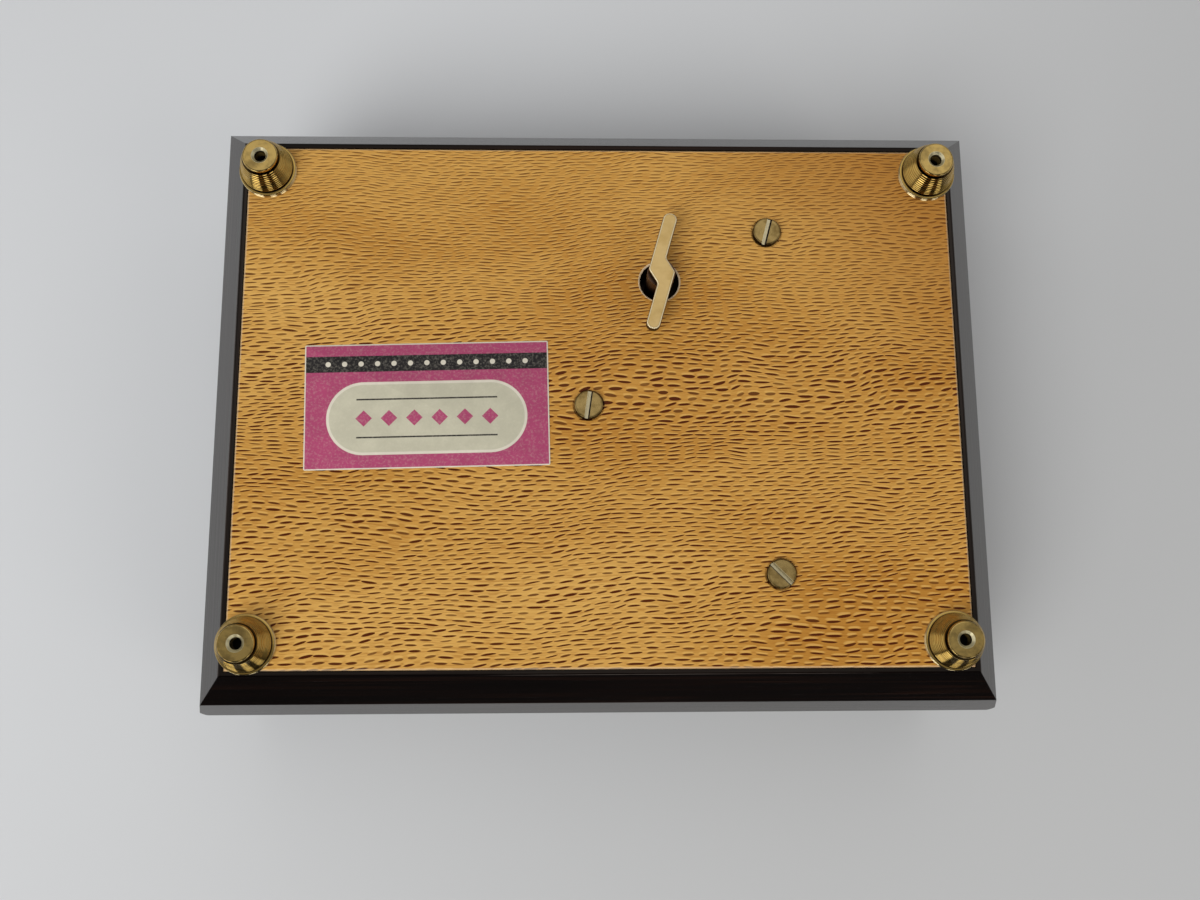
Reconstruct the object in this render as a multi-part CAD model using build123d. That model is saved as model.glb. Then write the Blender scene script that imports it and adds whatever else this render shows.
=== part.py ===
from build123d import *
from math import atan2, cos, degrees, pi, radians, sin, sqrt, tan
import os

# Wind up music box, upright on its feet and closed: x to the right, y to the back, z up, in millimetres.
# Pieces are drawn about the middle of the case and moved by half the reach of the hinges as they are written,
# so that the origin lies under the middle of the whole box, on the plane of the foot tips.

# Bottom panel and its rebate in the walls
panel_width = 150.0
panel_depth = 110.5
panel_thickness = 6.0
panel_clearance = 0.1
panel_edge_bevel = 0.3
rebate_shoulder = 1.5

# Moulded lower edge of the walls: flat rim, broad bevel, steep flare
rim_width = 1.0
bevel_width = 5.7
bevel_rise = 8.4
flare_width = 2.2
flare_rise = 8.0
wall_height = 46.0
corner_radius = 2.0
arris_round = 0.6

# Lid
lid_gap = 0.2
lid_thickness = 16.0
lid_bevel_width = 5.0
lid_bevel_rise = 4.0
lid_recess = 6.0
lid_lining_thickness = 5.0
lid_lining_round = 1.6
lining_clearance = 0.2

# Butt hinges, let into the bevelled back edges of the wall and the lid
hinge_offset_x = 45.0
leaf_length = 22.0
leaf_width = 6.4
leaf_thickness = 0.9
knuckle_radius = 1.7
knuckle_proud = 0.5
knuckle_standoff = 0.15
knuckle_gap = 0.12
back_bevel_angle = 52.0
back_bevel_start = 0.4
hinge_pin_radius = 0.8
hinge_screw_offset = 6.0
hinge_screw_radius = 0.8
hinge_screw_head_radius = 1.6
hinge_screw_length = 5.4

# Feet, turned in brass, each with a pin up into the panel
foot_height = 8.0
foot_inset_x = 4.2
foot_inset_y = 5.25
foot_base_radius = 6.0
foot_base_height = 1.1
foot_tip_radius = 3.65
foot_tip_height = 0.9
foot_groove_depth = 0.3
foot_groove_height = 0.35
foot_bell_low_radius = 3.95
foot_bell_middle_radius = 4.95
foot_bell_high_radius = 5.45
foot_bell_height = 5.0
foot_neck_radius = 5.15
foot_hole_radius = 1.2
foot_hole_depth = 4.0
foot_hole_bevel = 0.5
foot_edge_round = 0.35
foot_pin_radius = 0.7
foot_pin_head_height = 0.9
foot_pin_depth = 4.5

# Clearances: glued or threaded seats, running shafts, and loose fits
seat_gap = 0.03
running_gap = 0.05
loose_gap = 0.3

# Partition, glass pane and linings inside the case
partition_x = -15.0
partition_thickness = 4.0
pane_height = 47.0
pane_thickness = 2.0
ledge_size = 3.0
pane_notch = 4.0
storage_lining_thickness = 1.2
storage_lining_height = 34.0

# Winding key under the panel
key_x = 12.5
key_y = -25.5
key_hole_radius = 4.12
key_hole_bevel = 0.3
key_lever_angle = 16.0
key_lever_length = 25.2
key_lever_half_width = 2.75
key_arm_width = 2.95
key_shoulder_start = 0.5
key_shoulder_end = 2.9
key_shoulder_round = 1.0
key_lever_thickness = 1.7
key_lever_edge_round = 0.45
key_tip_round = 1.38
key_floor_gap = 0.7
key_hub_radius = 2.9
key_hub_top_gap = 1.0
key_socket_depth = 6.0

# Bedplate of the movement and the three screws that hold it through the panel
bedplate_left = -12.0
bedplate_right = 44.0
bedplate_front = -47.0
bedplate_back = 45.0
bedplate_thickness = 3.5
bedplate_corner = 3.0
bedplate_bevel = 0.5
movement_screw_places = [(35.6, -36.5, -75.0), (-2.6, 1.4, -82.0), (36.3, 36.5, 45.0)]
movement_screw_radius = 1.5
movement_screw_head_radius = 3.0
movement_screw_head_height = 1.6
movement_screw_seat_depth = 0.4
screw_slot_width = 0.9
screw_slot_depth = 0.8
movement_screw_edge_round = 0.4

# Spring barrel, its cover with crown teeth, the arbor and the mainspring
barrel_radius = 15.5
barrel_height = 9.5
barrel_wall = 1.0
barrel_floor = 1.2
barrel_lift = 0.6
cover_thickness = 1.4
arbor_radius = 2.0
arbor_top_reach = 1.4
crown_teeth = 36
crown_outer_inset = 0.2
crown_tooth_width = 2.6
crown_tooth_root = 1.3
crown_tooth_tip = 0.55
spring_turns = 6
spring_thickness = 0.35
spring_inner_radius = 3.0
spring_end_gap = 0.3

# Tooth depth of the crown mesh, from the pitch line to the tips and to the roots
crown_addendum = 0.65
crown_dedendum = 0.85

# Small gear teeth: depths in modules, and lands as shares of the tooth at the pitch line
tooth_tip_modules = 0.9
tooth_root_modules = 1.25
tooth_tip_share = 0.5
tooth_root_share = 1.25

# Barrel bridge on its two posts, ratchet wheel and click
bridge_half_length = 23.0
bridge_half_width = 4.5
bridge_thickness = 2.0
bridge_lift = 0.7
post_offset = 19.5
post_radius = 2.5
small_screw_radius = 0.9
small_screw_head_radius = 1.8
small_screw_head_height = 1.1
small_screw_slot_width = 0.5
small_screw_slot_depth = 0.5
small_screw_turn = 31.0
small_screw_depth = 5.0
ratchet_teeth = 24
ratchet_tip_radius = 6.5
ratchet_root_radius = 5.6
ratchet_thickness = 1.4
ratchet_face_turn = 0.9
click_contact_angle = 35.0
click_pivot_angle = -10.0
click_pivot_distance = 11.5
click_eye_radius = 1.7
click_tip_half_width = 0.45
click_gap = 0.1
click_face_turn = 1.2
click_lift = 8.0
click_lift_steps = 8
click_nose_length = 2.0
click_spring_thickness = 0.3
click_spring_reach = 5.5
click_post_radius = 0.8
click_post_offset = 2.5

# Pinned cylinder, its arbor, pinion and wheel
cylinder_radius = 8.0
cylinder_front = -3.0
cylinder_back = 29.0
cylinder_arbor_radius = 1.2
cylinder_wall = 0.7
cylinder_cap_recess = 0.6
pinion_teeth = 9
pinion_tooth_root = 1.35
pinion_tooth_tip = 0.55
pinion_width = 2.4
arbor_overhang = 1.0
wheel_teeth = 36
wheel_module = 0.45
wheel_gap = 1.0
wheel_width = 1.8
wheel_backlash = 0.12
music_pin_height = 0.7
music_pin_width = 0.45
music_pins_per_track = 2
golden_angle = 137.508

# Bearings of the cylinder
bearing_half_width = 5.0
bearing_thickness = 2.2
bearing_foot_length = 5.6
bearing_foot_height = 2.0
bearing_barrel_gap = 1.1
bearing_wheel_gap = 1.4

# Comb with its base
comb_teeth = 36
comb_gap = 0.25
comb_tip_clearance = 0.25
comb_treble_length = 9.5
comb_bass_length = 13.0
comb_tooth_thickness = 0.8
comb_body_width = 7.5
comb_body_thickness = 1.8
comb_end_margin = 0.6
comb_base_inset = 1.0
comb_screw_inset = 4.0
comb_screw_count = 3

# Governor: second arbor with pinion and worm wheel, worm with fan, and the frame that carries them
governor_direction = 205.0
governor_pinion_teeth = 12
governor_arbor_radius = 0.8
worm_wheel_teeth = 16
worm_module = 0.5
worm_wheel_width = 1.0
worm_wheel_y = 36.2
worm_radius = 1.6
worm_starts = 2
worm_length = 6.8
worm_arbor_radius = 0.6
worm_step_depth = 1.5
worm_backlash = 0.25
worm_tip_turn = 20.0
worm_root_turn = 42.0
worm_steps_per_turn = 12
worm_phase = 90.0
worm_tip_height = 0.45
worm_root_depth = 0.5
fan_radius = 4.6
fan_height = 5.5
fan_lift = 3.0
fan_thickness = 0.5
fan_hub_radius = 1.2
fan_corner_round = 1.4
frame_base_height = 3.0
frame_cheek_thickness = 1.2
frame_cheek_gap = 0.8
frame_fan_gap = 0.6
frame_margin = 3.5
frame_cock_thickness = 1.6
frame_cock_half_width = 1.8

# Stop rod that the lid presses down, with its guide post
stop_rod_radius = 0.8
stop_rod_gap = 0.35
stop_rod_end_round = 0.4
stop_arm_height = 1.0
stop_arm_length = 2.6
stop_guide_size = 3.4
stop_guide_height = 9.0
stop_lid_gap = 0.3
stop_socket_depth = 6.0

# Levels from the foot tips upwards
panel_bottom = foot_height
panel_top = panel_bottom + panel_thickness
wall_top = panel_bottom + wall_height
lid_bottom = wall_top + lid_gap
lid_top = lid_bottom + lid_thickness
bedplate_top = panel_top + bedplate_thickness
barrel_bottom = bedplate_top + barrel_lift
cover_bottom = barrel_bottom + barrel_height
cover_top = cover_bottom + cover_thickness
crown_pitch_z = cover_top + crown_dedendum
crown_tip_z = crown_pitch_z + crown_addendum
bridge_bottom = crown_tip_z + bridge_lift
bridge_top = bridge_bottom + bridge_thickness
ratchet_bottom = bridge_top + loose_gap
ratchet_top = ratchet_bottom + ratchet_thickness
pane_bottom = pane_height
pane_top = pane_bottom + pane_thickness

# Plan of the case
mould_width = rim_width + bevel_width + flare_width
case_width = panel_width + 2 * mould_width
case_depth = panel_depth + 2 * mould_width
inner_width = panel_width - 2 * rebate_shoulder
inner_depth = panel_depth - 2 * rebate_shoulder
partition_right = partition_x + partition_thickness / 2
partition_left = partition_x - partition_thickness / 2
hinge_axis_y = case_depth / 2 + knuckle_proud - knuckle_radius
hinge_axis_z = wall_top + lid_gap / 2
leaf_edge_y = hinge_axis_y - knuckle_radius - knuckle_standoff
case_shift_y = -knuckle_proud / 2

# Crown mesh: the pinion rolls on the middle of the crown teeth, behind the barrel axis
crown_outer_radius = barrel_radius - crown_outer_inset
crown_pitch_radius = crown_outer_radius - crown_tooth_width / 2
pinion_pitch_radius = crown_pitch_radius * pinion_teeth / crown_teeth
cylinder_x = key_x
cylinder_z = crown_pitch_z + pinion_pitch_radius
pinion_y = key_y + crown_pitch_radius
music_pin_radius = cylinder_radius + music_pin_height

# Governor meshes
wheel_radius = wheel_module * wheel_teeth / 2
governor_pinion_radius = wheel_module * governor_pinion_teeth / 2
governor_distance = wheel_radius + governor_pinion_radius
governor_x = cylinder_x + governor_distance * cos(radians(governor_direction))
governor_z = cylinder_z + governor_distance * sin(radians(governor_direction))
wheel_front = cylinder_back + wheel_gap
wheel_back = wheel_front + wheel_width
worm_wheel_radius = worm_module * worm_wheel_teeth / 2
worm_x = governor_x - worm_wheel_radius - worm_radius
worm_top = governor_z + worm_length / 2
fan_bottom = worm_top + fan_lift
fan_top = fan_bottom + fan_height
frame_front = wheel_back + frame_cheek_gap
frame_back = worm_wheel_y + fan_radius + frame_fan_gap
frame_base_top = bedplate_top + frame_base_height
frame_cock_bottom = fan_top + frame_cheek_gap
worm_arbor_bottom = frame_base_top - worm_step_depth

# Bearings and comb about the cylinder
bearing_front = key_y + barrel_radius + bearing_barrel_gap
rear_bearing_front = wheel_back + bearing_wheel_gap
comb_tip_x = cylinder_x + music_pin_radius + comb_tip_clearance
comb_bottom = cylinder_z
comb_body_front = comb_tip_x + comb_bass_length
comb_back = comb_body_front + comb_body_width
frame_left = worm_x - frame_margin
frame_right = governor_x + frame_margin

# Stop rod beside the fan
stop_x = worm_x - fan_radius - stop_rod_gap - stop_arm_length
stop_y = worm_wheel_y
lining_bottom = lid_bottom + lid_recess - lid_lining_thickness
stop_rod_top = lining_bottom - stop_lid_gap
stop_rod_bottom = bedplate_top + stop_guide_height - stop_socket_depth
stop_arm_z = fan_bottom + fan_height / 2


def box_between(low, high):
    """Box with the given lowest and highest corner."""
    size = [b - a for a, b in zip(low, high)]
    middle = [(a + b) / 2 for a, b in zip(low, high)]
    return Pos(*middle) * Box(*size)


def rod(radius, low, high, axis="z", across=(0.0, 0.0)):
    """Round rod along an axis from low to high; across gives the two other coordinates in x, y, z order."""
    middle = (low + high) / 2
    if axis == "z":
        return Pos(across[0], across[1], middle) * Cylinder(radius, high - low)
    if axis == "y":
        return Pos(across[0], middle, across[1]) * Rot(90, 0, 0) * Cylinder(radius, high - low)
    return Pos(middle, across[0], across[1]) * Rot(0, 90, 0) * Cylinder(radius, high - low)


def prism(points, low, high):
    """Upright prism over a closed outline in the x, y plane."""
    outline = make_face(Polyline(*points, close=True))
    return Pos(0, 0, low) * extrude(outline, high - low)


def prism_along_y(points, low, high):
    """Bar along y whose section is an outline in the x, z plane."""
    section = make_face(Polyline(*[(x, low, z) for x, z in points], close=True))
    return extrude(section, high - low, dir=(0, 1, 0))


def gear_points(teeth, root_radius, tip_radius, root_land, tip_land, phase):
    """Outline of a gear with straight flanks, one tooth centred on the phase angle."""
    points = []
    for index in range(teeth):
        middle = radians(phase + index * 360 / teeth)
        root_turn = root_land / (2 * root_radius)
        tip_turn = tip_land / (2 * tip_radius)
        for radius, turn in ((root_radius, -root_turn), (tip_radius, -tip_turn),
                             (tip_radius, tip_turn), (root_radius, root_turn)):
            points.append((radius * cos(middle + turn), radius * sin(middle + turn)))
    return points


def spur_points(teeth, module, backlash, phase):
    """Outline of a small gear: full depth teeth thinned by the backlash."""
    pitch_radius = module * teeth / 2
    pitch_land = pi * module / 2 - backlash
    root_radius = pitch_radius - tooth_root_modules * module
    tip_radius = pitch_radius + tooth_tip_modules * module
    root_land = pitch_land * tooth_root_share
    tip_land = pitch_land * tooth_tip_share
    return gear_points(teeth, root_radius, tip_radius, root_land, tip_land, phase)


def gear_along_y(points, x, z, low, high):
    """Gear blank on an axis along y."""
    placed = [(x + u, z + v) for u, v in points]
    return prism_along_y(placed, low, high)


def cheese_screw(x, y, top_of_seat, depth, radius=small_screw_radius):
    """Small screw pointing down: its slotted head stands on the seat, turned as its place gives it."""
    shank = rod(radius, top_of_seat - depth, top_of_seat, "z", (x, y))
    head_top = top_of_seat + small_screw_head_height
    head = rod(small_screw_head_radius, top_of_seat, head_top, "z", (x, y))
    slot = Box(2 * small_screw_head_radius, small_screw_slot_width, 2 * small_screw_slot_depth)
    return shank + head - Pos(x, y, head_top) * Rot(0, 0, small_screw_turn * (x + y)) * slot


def screw_hole(x, y, top, depth, radius=small_screw_radius):
    """Threaded hole for a small screw."""
    return rod(radius + seat_gap, top - depth - loose_gap, top, "z", (x, y))


# Case

def wall(panel_edge, outer_half_length, outer_edge):
    """One mitred wall, drawn as the back wall: the moulding runs along x and faces +y."""
    bevel_edge = panel_edge + rim_width + bevel_width
    profile = [
        (panel_edge - rebate_shoulder, wall_top),
        (panel_edge - rebate_shoulder, panel_top),
        (panel_edge + panel_clearance, panel_top),
        (panel_edge + panel_clearance, panel_bottom),
        (panel_edge + rim_width, panel_bottom),
        (bevel_edge, panel_bottom + bevel_rise),
        (outer_edge, panel_bottom + bevel_rise + flare_rise),
        (outer_edge, wall_top),
    ]
    section = make_face(Plane.YZ * Polyline(*profile, close=True))
    arrises = [v for v in section.vertices() if v.Y > panel_edge + panel_clearance + seat_gap]
    bar = extrude(fillet(arrises, arris_round), outer_half_length, both=True)
    thickness = mould_width + rebate_shoulder
    mitre = [
        (-outer_half_length, outer_edge),
        (-outer_half_length + thickness, outer_edge - thickness),
        (outer_half_length - thickness, outer_edge - thickness),
        (outer_half_length, outer_edge),
    ]
    rounded_plan = extrude(RectangleRounded(2 * outer_half_length, 2 * outer_edge, corner_radius), wall_top)
    return bar & prism(mitre, panel_bottom, wall_top) & rounded_plan


def hinge_mortise(hinge_x, low, high):
    """Recess for a hinge leaf and its knuckles in the edge of a board."""
    half = leaf_length / 2 + seat_gap
    reach = leaf_length / 2 + loose_gap
    axis = (hinge_axis_y, hinge_axis_z)
    seat = box_between((hinge_x - half, leaf_edge_y - leaf_width - seat_gap, low),
                       (hinge_x + half, hinge_axis_y, high))
    return seat + rod(knuckle_radius + loose_gap, hinge_x - reach, hinge_x + reach, "x", axis)


def back_bevel(face, direction):
    """What the bevel takes off the back edge of a board; direction is 1 above the face and -1 below it."""
    start = hinge_axis_y - back_bevel_start
    end = case_depth / 2 + knuckle_radius
    rise = (end - start) * tan(radians(back_bevel_angle))
    profile = [(start, face), (end, face), (end, face + direction * rise)]
    section = make_face(Plane.YZ * Polyline(*profile, close=True))
    return extrude(section, case_width / 2 + knuckle_radius, both=True)


def hinge_places():
    """Middle of each hinge along the back."""
    return [-hinge_offset_x, hinge_offset_x]


def hinge_screw_places():
    """Centres of the screws of both hinges."""
    y = leaf_edge_y - leaf_width / 2
    offsets = (-hinge_screw_offset, hinge_screw_offset)
    return [(hinge_x + offset, y) for hinge_x in hinge_places() for offset in offsets]


def hinge_screw(x, y, grow):
    """Countersunk screw pointing down from z = 0; grow widens it into its own hole."""
    shank_radius = hinge_screw_radius + grow
    head_radius = hinge_screw_head_radius + grow
    depth = hinge_screw_length + grow
    profile = [(0, 0), (head_radius, 0), (shank_radius, -leaf_thickness), (shank_radius, -depth), (0, -depth)]
    section = make_face(Plane.XZ * Polyline(*profile, close=True))
    return Pos(x, y, 0) * revolve(section, Axis.Z)


def lid_hinge_screw(x, y, face, grow):
    """The same screw pointing up into the lid."""
    return Pos(0, 0, face) * Rot(180, 0, 0) * hinge_screw(x, -y, grow)


def make_walls():
    """Four walls; the back edge is bevelled and has the mortises and screw holes of the hinges."""
    long_wall = wall(panel_depth / 2, case_width / 2, case_depth / 2)
    short_wall = wall(panel_width / 2, case_depth / 2, case_width / 2)
    bevel = back_bevel(wall_top, -1)
    back = long_wall - bevel
    for hinge_x in hinge_places():
        back -= hinge_mortise(hinge_x, wall_top - leaf_thickness - lid_gap / 2, wall_top)
    for x, y in hinge_screw_places():
        back -= Pos(0, 0, wall_top - lid_gap / 2) * hinge_screw(x, y, seat_gap)
    return {
        "front_wall": Rot(0, 0, 180) * long_wall,
        "back_wall": back,
        "left_wall": Rot(0, 0, 90) * short_wall - bevel,
        "right_wall": Rot(0, 0, -90) * short_wall - bevel,
    }


def foot_places():
    """Axis of each foot by name."""
    x = panel_width / 2 - foot_inset_x
    y = panel_depth / 2 - foot_inset_y
    return {
        "foot_front_left": (-x, -y),
        "foot_front_right": (x, -y),
        "foot_back_left": (-x, y),
        "foot_back_right": (x, y),
    }


def make_bottom_panel():
    """Beech panel with the holes for the key, the movement screws and the foot pins."""
    panel = box_between((-panel_width / 2, -panel_depth / 2, panel_bottom),
                        (panel_width / 2, panel_depth / 2, panel_top))
    panel = chamfer(panel.faces().sort_by(Axis.Z)[0].edges(), panel_edge_bevel)
    hole = rod(key_hole_radius, panel_bottom, panel_top, "z", (key_x, key_y))
    rim = Pos(key_x, key_y, panel_bottom + key_hole_bevel / 2) * Cone(key_hole_radius + key_hole_bevel,
                                                                     key_hole_radius, key_hole_bevel)
    panel -= hole + rim
    for x, y, _ in movement_screw_places:
        panel -= rod(movement_screw_radius + running_gap, panel_bottom, panel_top, "z", (x, y))
        seat_top = panel_bottom + movement_screw_seat_depth
        panel -= rod(movement_screw_head_radius + loose_gap, panel_bottom, seat_top, "z", (x, y))
    for x, y in foot_places().values():
        pin_top = panel_bottom + foot_pin_depth + loose_gap
        panel -= rod(foot_pin_radius + seat_gap, panel_bottom, pin_top, "z", (x, y))
    return panel


def make_partition():
    """Board between the movement and the lined compartment, with a rebate for the glass pane."""
    back_corner = (partition_right, inner_depth / 2, pane_top)
    board = box_between((partition_left, -inner_depth / 2, panel_top), back_corner)
    rebate = box_between((partition_x, -inner_depth / 2, pane_bottom), back_corner)
    return board - rebate


def make_ledges():
    """Strips on the front, right and back walls that carry the pane."""
    low = pane_bottom - ledge_size
    right = inner_width / 2
    front = -inner_depth / 2
    strips = [
        box_between((partition_right, front, low), (right, front + ledge_size, pane_bottom)),
        box_between((partition_right, -front - ledge_size, low), (right, -front, pane_bottom)),
        box_between((right - ledge_size, front + ledge_size, low), (right, -front - ledge_size, pane_bottom)),
    ]
    return strips


def make_pane():
    """Glass over the movement, notched round the stop rod."""
    half_depth = inner_depth / 2 - loose_gap
    pane = box_between((partition_x + loose_gap, -half_depth, pane_bottom),
                       (inner_width / 2 - loose_gap, half_depth, pane_top))
    notch = box_between((partition_x, stop_y - pane_notch / 2, pane_bottom),
                        (stop_x + pane_notch / 2, stop_y + pane_notch / 2, pane_top))
    return pane - notch


def make_storage_lining():
    """Felt tray in the compartment beside the movement."""
    half_depth = inner_depth / 2 - lining_clearance
    low = (-inner_width / 2 + lining_clearance, -half_depth, panel_top)
    high = (partition_left - lining_clearance, half_depth, panel_top + storage_lining_height)
    inside_low = tuple(value + storage_lining_thickness for value in low)
    inside_high = (high[0] - storage_lining_thickness, high[1] - storage_lining_thickness, high[2])
    return box_between(low, high) - box_between(inside_low, inside_high)


# Feet

def make_foot():
    """Turned foot standing on z = 0: tip, groove, bell and base flange, with a stepped pin hole."""
    groove_radius = foot_tip_radius - foot_groove_depth
    bell_low = foot_tip_height + foot_groove_height
    bell_high = bell_low + foot_bell_height
    base_low = foot_height - foot_base_height
    pin_hole = foot_pin_radius + seat_gap
    tip_edge = foot_tip_radius - foot_edge_round
    flange_edge = foot_base_radius - foot_edge_round
    flange_start = (foot_base_radius, base_low + foot_edge_round)
    bell_start = (foot_bell_low_radius, bell_low)
    bell_middle = (foot_bell_middle_radius, (bell_low + bell_high) / 2)
    bell_end = (foot_bell_high_radius, bell_high)
    with BuildPart() as turned:
        with BuildSketch(Plane.XZ):
            with BuildLine():
                Polyline((pin_hole, foot_height), (pin_hole, foot_hole_depth),
                         (foot_hole_radius, foot_hole_depth), (foot_hole_radius, foot_hole_bevel),
                         (foot_hole_radius + foot_hole_bevel, 0), (tip_edge, 0))
                RadiusArc((tip_edge, 0), (foot_tip_radius, foot_edge_round), -foot_edge_round)
                Polyline((foot_tip_radius, foot_edge_round), (foot_tip_radius, foot_tip_height),
                         (groove_radius, foot_tip_height + foot_groove_depth / 2), (groove_radius, bell_low),
                         bell_start)
                ThreePointArc(bell_start, bell_middle, bell_end)
                Polyline(bell_end, (foot_neck_radius, (bell_high + base_low) / 2), (flange_edge, base_low))
                RadiusArc((flange_edge, base_low), flange_start, -foot_edge_round)
                Polyline(flange_start, (foot_base_radius, foot_height), (pin_hole, foot_height))
            make_face()
        revolve(axis=Axis.Z)
    return turned.part


def make_foot_pin():
    """Pin through a foot, its head sunk in the tip."""
    head = rod(foot_hole_radius - seat_gap, foot_hole_depth - foot_pin_head_height, foot_hole_depth)
    shank = rod(foot_pin_radius, foot_hole_depth, foot_height + foot_pin_depth)
    return head + shank


# Lid

def make_lid_panel():
    """Lid board with bevelled upper edges, mitred at the corners, and a recess for the lining."""
    plan = RectangleRounded(case_width, case_depth, corner_radius)
    board = Pos(0, 0, lid_bottom) * extrude(plan, lid_thickness)

    def bevelled(half, plane, reach):
        shoulder = lid_top - lid_bevel_rise
        profile = [(-half, lid_bottom), (half, lid_bottom), (half, shoulder),
                   (half - lid_bevel_width, lid_top), (-half + lid_bevel_width, lid_top), (-half, shoulder)]
        return extrude(make_face(plane * Polyline(*profile, close=True)), reach, both=True)

    board = board & bevelled(case_depth / 2, Plane.YZ, case_width / 2)
    board = board & bevelled(case_width / 2, Plane.XZ, case_depth / 2)
    arrises = [edge for edge in board.edges() if edge.bounding_box().size.Z < lid_bevel_rise / 2]
    board = fillet(arrises, arris_round)
    board -= box_between((-inner_width / 2, -inner_depth / 2, lid_bottom),
                         (inner_width / 2, inner_depth / 2, lid_bottom + lid_recess))
    for hinge_x in hinge_places():
        board -= hinge_mortise(hinge_x, lid_bottom, lid_bottom + leaf_thickness + lid_gap / 2)
    for x, y in hinge_screw_places():
        board -= lid_hinge_screw(x, y, lid_bottom + lid_gap / 2, seat_gap)
    return board - back_bevel(lid_bottom, 1)


def make_lid_lining():
    """Padded lining that fills the recess of the lid."""
    half_width = inner_width / 2 - lining_clearance
    half_depth = inner_depth / 2 - lining_clearance
    pad = box_between((-half_width, -half_depth, lining_bottom),
                      (half_width, half_depth, lid_bottom + lid_recess))
    return fillet(pad.faces().sort_by(Axis.Z)[0].edges(), lid_lining_round)


def hinge_leaf(hinge_x, knuckles, plate_low, plate_high, bore):
    """One hinge leaf: plate, tabs out to the axis and the knuckles it carries."""
    half = leaf_length / 2
    axis = (hinge_axis_y, hinge_axis_z)
    leaf = box_between((hinge_x - half, leaf_edge_y - leaf_width, plate_low),
                       (hinge_x + half, leaf_edge_y, plate_high))
    for low, high in knuckles:
        left = hinge_x + low
        right = hinge_x + high
        leaf += box_between((left, leaf_edge_y, plate_low), (right, hinge_axis_y, plate_high))
        leaf += rod(knuckle_radius, left, right, "x", axis)
    return leaf - rod(bore, hinge_x - half, hinge_x + half, "x", axis)


def make_hinges():
    """Case leaves with two outer knuckles, lid leaves with the middle one, pins and screws."""
    third = leaf_length / 6
    outer = [(-leaf_length / 2, -third - knuckle_gap), (third + knuckle_gap, leaf_length / 2)]
    middle = [(-third, third)]
    case_face = wall_top - lid_gap / 2
    lid_face = lid_bottom + lid_gap / 2
    half = leaf_length / 2
    seat_bore = hinge_pin_radius + seat_gap
    turning_bore = hinge_pin_radius + running_gap
    case_leaves = []
    lid_leaves = []
    pins = []
    for hinge_x in hinge_places():
        case_leaf = hinge_leaf(hinge_x, outer, case_face - leaf_thickness, case_face, seat_bore)
        lid_leaf = hinge_leaf(hinge_x, middle, lid_face, lid_face + leaf_thickness, turning_bore)
        for x, y in hinge_screw_places():
            case_leaf -= Pos(0, 0, case_face) * hinge_screw(x, y, seat_gap)
            lid_leaf -= lid_hinge_screw(x, y, lid_face, seat_gap)
        case_leaves.append(case_leaf)
        lid_leaves.append(lid_leaf)
        pins.append(rod(hinge_pin_radius, hinge_x - half, hinge_x + half, "x", (hinge_axis_y, hinge_axis_z)))
    case_screws = [Pos(0, 0, case_face) * hinge_screw(x, y, 0) for x, y in hinge_screw_places()]
    lid_screws = [lid_hinge_screw(x, y, lid_face, 0) for x, y in hinge_screw_places()]
    return {
        "hinge_case_leaves": case_leaves,
        "hinge_lid_leaves": lid_leaves,
        "hinge_pins": pins,
        "hinge_case_screws": case_screws,
        "hinge_lid_screws": lid_screws,
    }


# Winding key and arbor

def make_key_lever():
    """Flat lever with two arms side by side, joined by sloping shoulders: an S in outline."""
    end = key_lever_length / 2
    outer = key_lever_half_width
    inner = key_arm_width - key_lever_half_width
    half_outline = [(-outer, -end), (inner, -end), (inner, -key_shoulder_end), (outer, -key_shoulder_start)]
    outline = half_outline + [(-u, -v) for u, v in half_outline]
    face = make_face(Polyline(*outline, close=True))
    shoulders = [v for v in face.vertices() if abs(v.Y) < (end + key_shoulder_end) / 2]
    face = fillet(shoulders, key_shoulder_round)
    tips = [v for v in face.vertices() if abs(v.Y) > (end + key_shoulder_end) / 2]
    face = fillet(tips, key_tip_round)
    lever = extrude(face, key_lever_thickness)
    lever = fillet(lever.faces().sort_by(Axis.Z)[0].edges(), key_lever_edge_round)
    return Pos(key_x, key_y, key_floor_gap) * Rot(0, 0, key_lever_angle) * lever


def ratchet_points(grow, turn):
    """Saw tooth outline about the key axis; grow and turn give the room that the click keeps from it."""
    points = []
    pitch = 360 / ratchet_teeth
    for index in range(ratchet_teeth):
        tip = radians(click_contact_angle + turn + index * pitch)
        root = radians(click_contact_angle + turn + (index + 1) * pitch - ratchet_face_turn)
        for radius, angle in ((ratchet_tip_radius + grow, tip), (ratchet_root_radius + grow, root)):
            points.append((key_x + radius * cos(angle), key_y + radius * sin(angle)))
    return points


def make_winding():
    """Key lever, hub, arbor and ratchet wheel, which all turn together."""
    lever_top = key_floor_gap + key_lever_thickness
    hub_top = panel_top - key_hub_top_gap
    hub = rod(key_hub_radius, lever_top, hub_top, "z", (key_x, key_y))
    hub -= rod(arbor_radius + seat_gap, hub_top - key_socket_depth, hub_top, "z", (key_x, key_y))
    arbor = rod(arbor_radius, hub_top - key_socket_depth, ratchet_top + arbor_top_reach, "z", (key_x, key_y))
    ratchet = prism(ratchet_points(0, 0), ratchet_bottom, ratchet_top)
    ratchet -= rod(arbor_radius + seat_gap, ratchet_bottom, ratchet_top, "z", (key_x, key_y))
    return {"key_lever": make_key_lever(), "key_hub": hub, "winding_arbor": arbor, "ratchet_wheel": ratchet}


def click_pivot():
    """Axis of the click screw on the bridge."""
    angle = radians(click_pivot_angle)
    return key_x + click_pivot_distance * cos(angle), key_y + click_pivot_distance * sin(angle)


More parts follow.
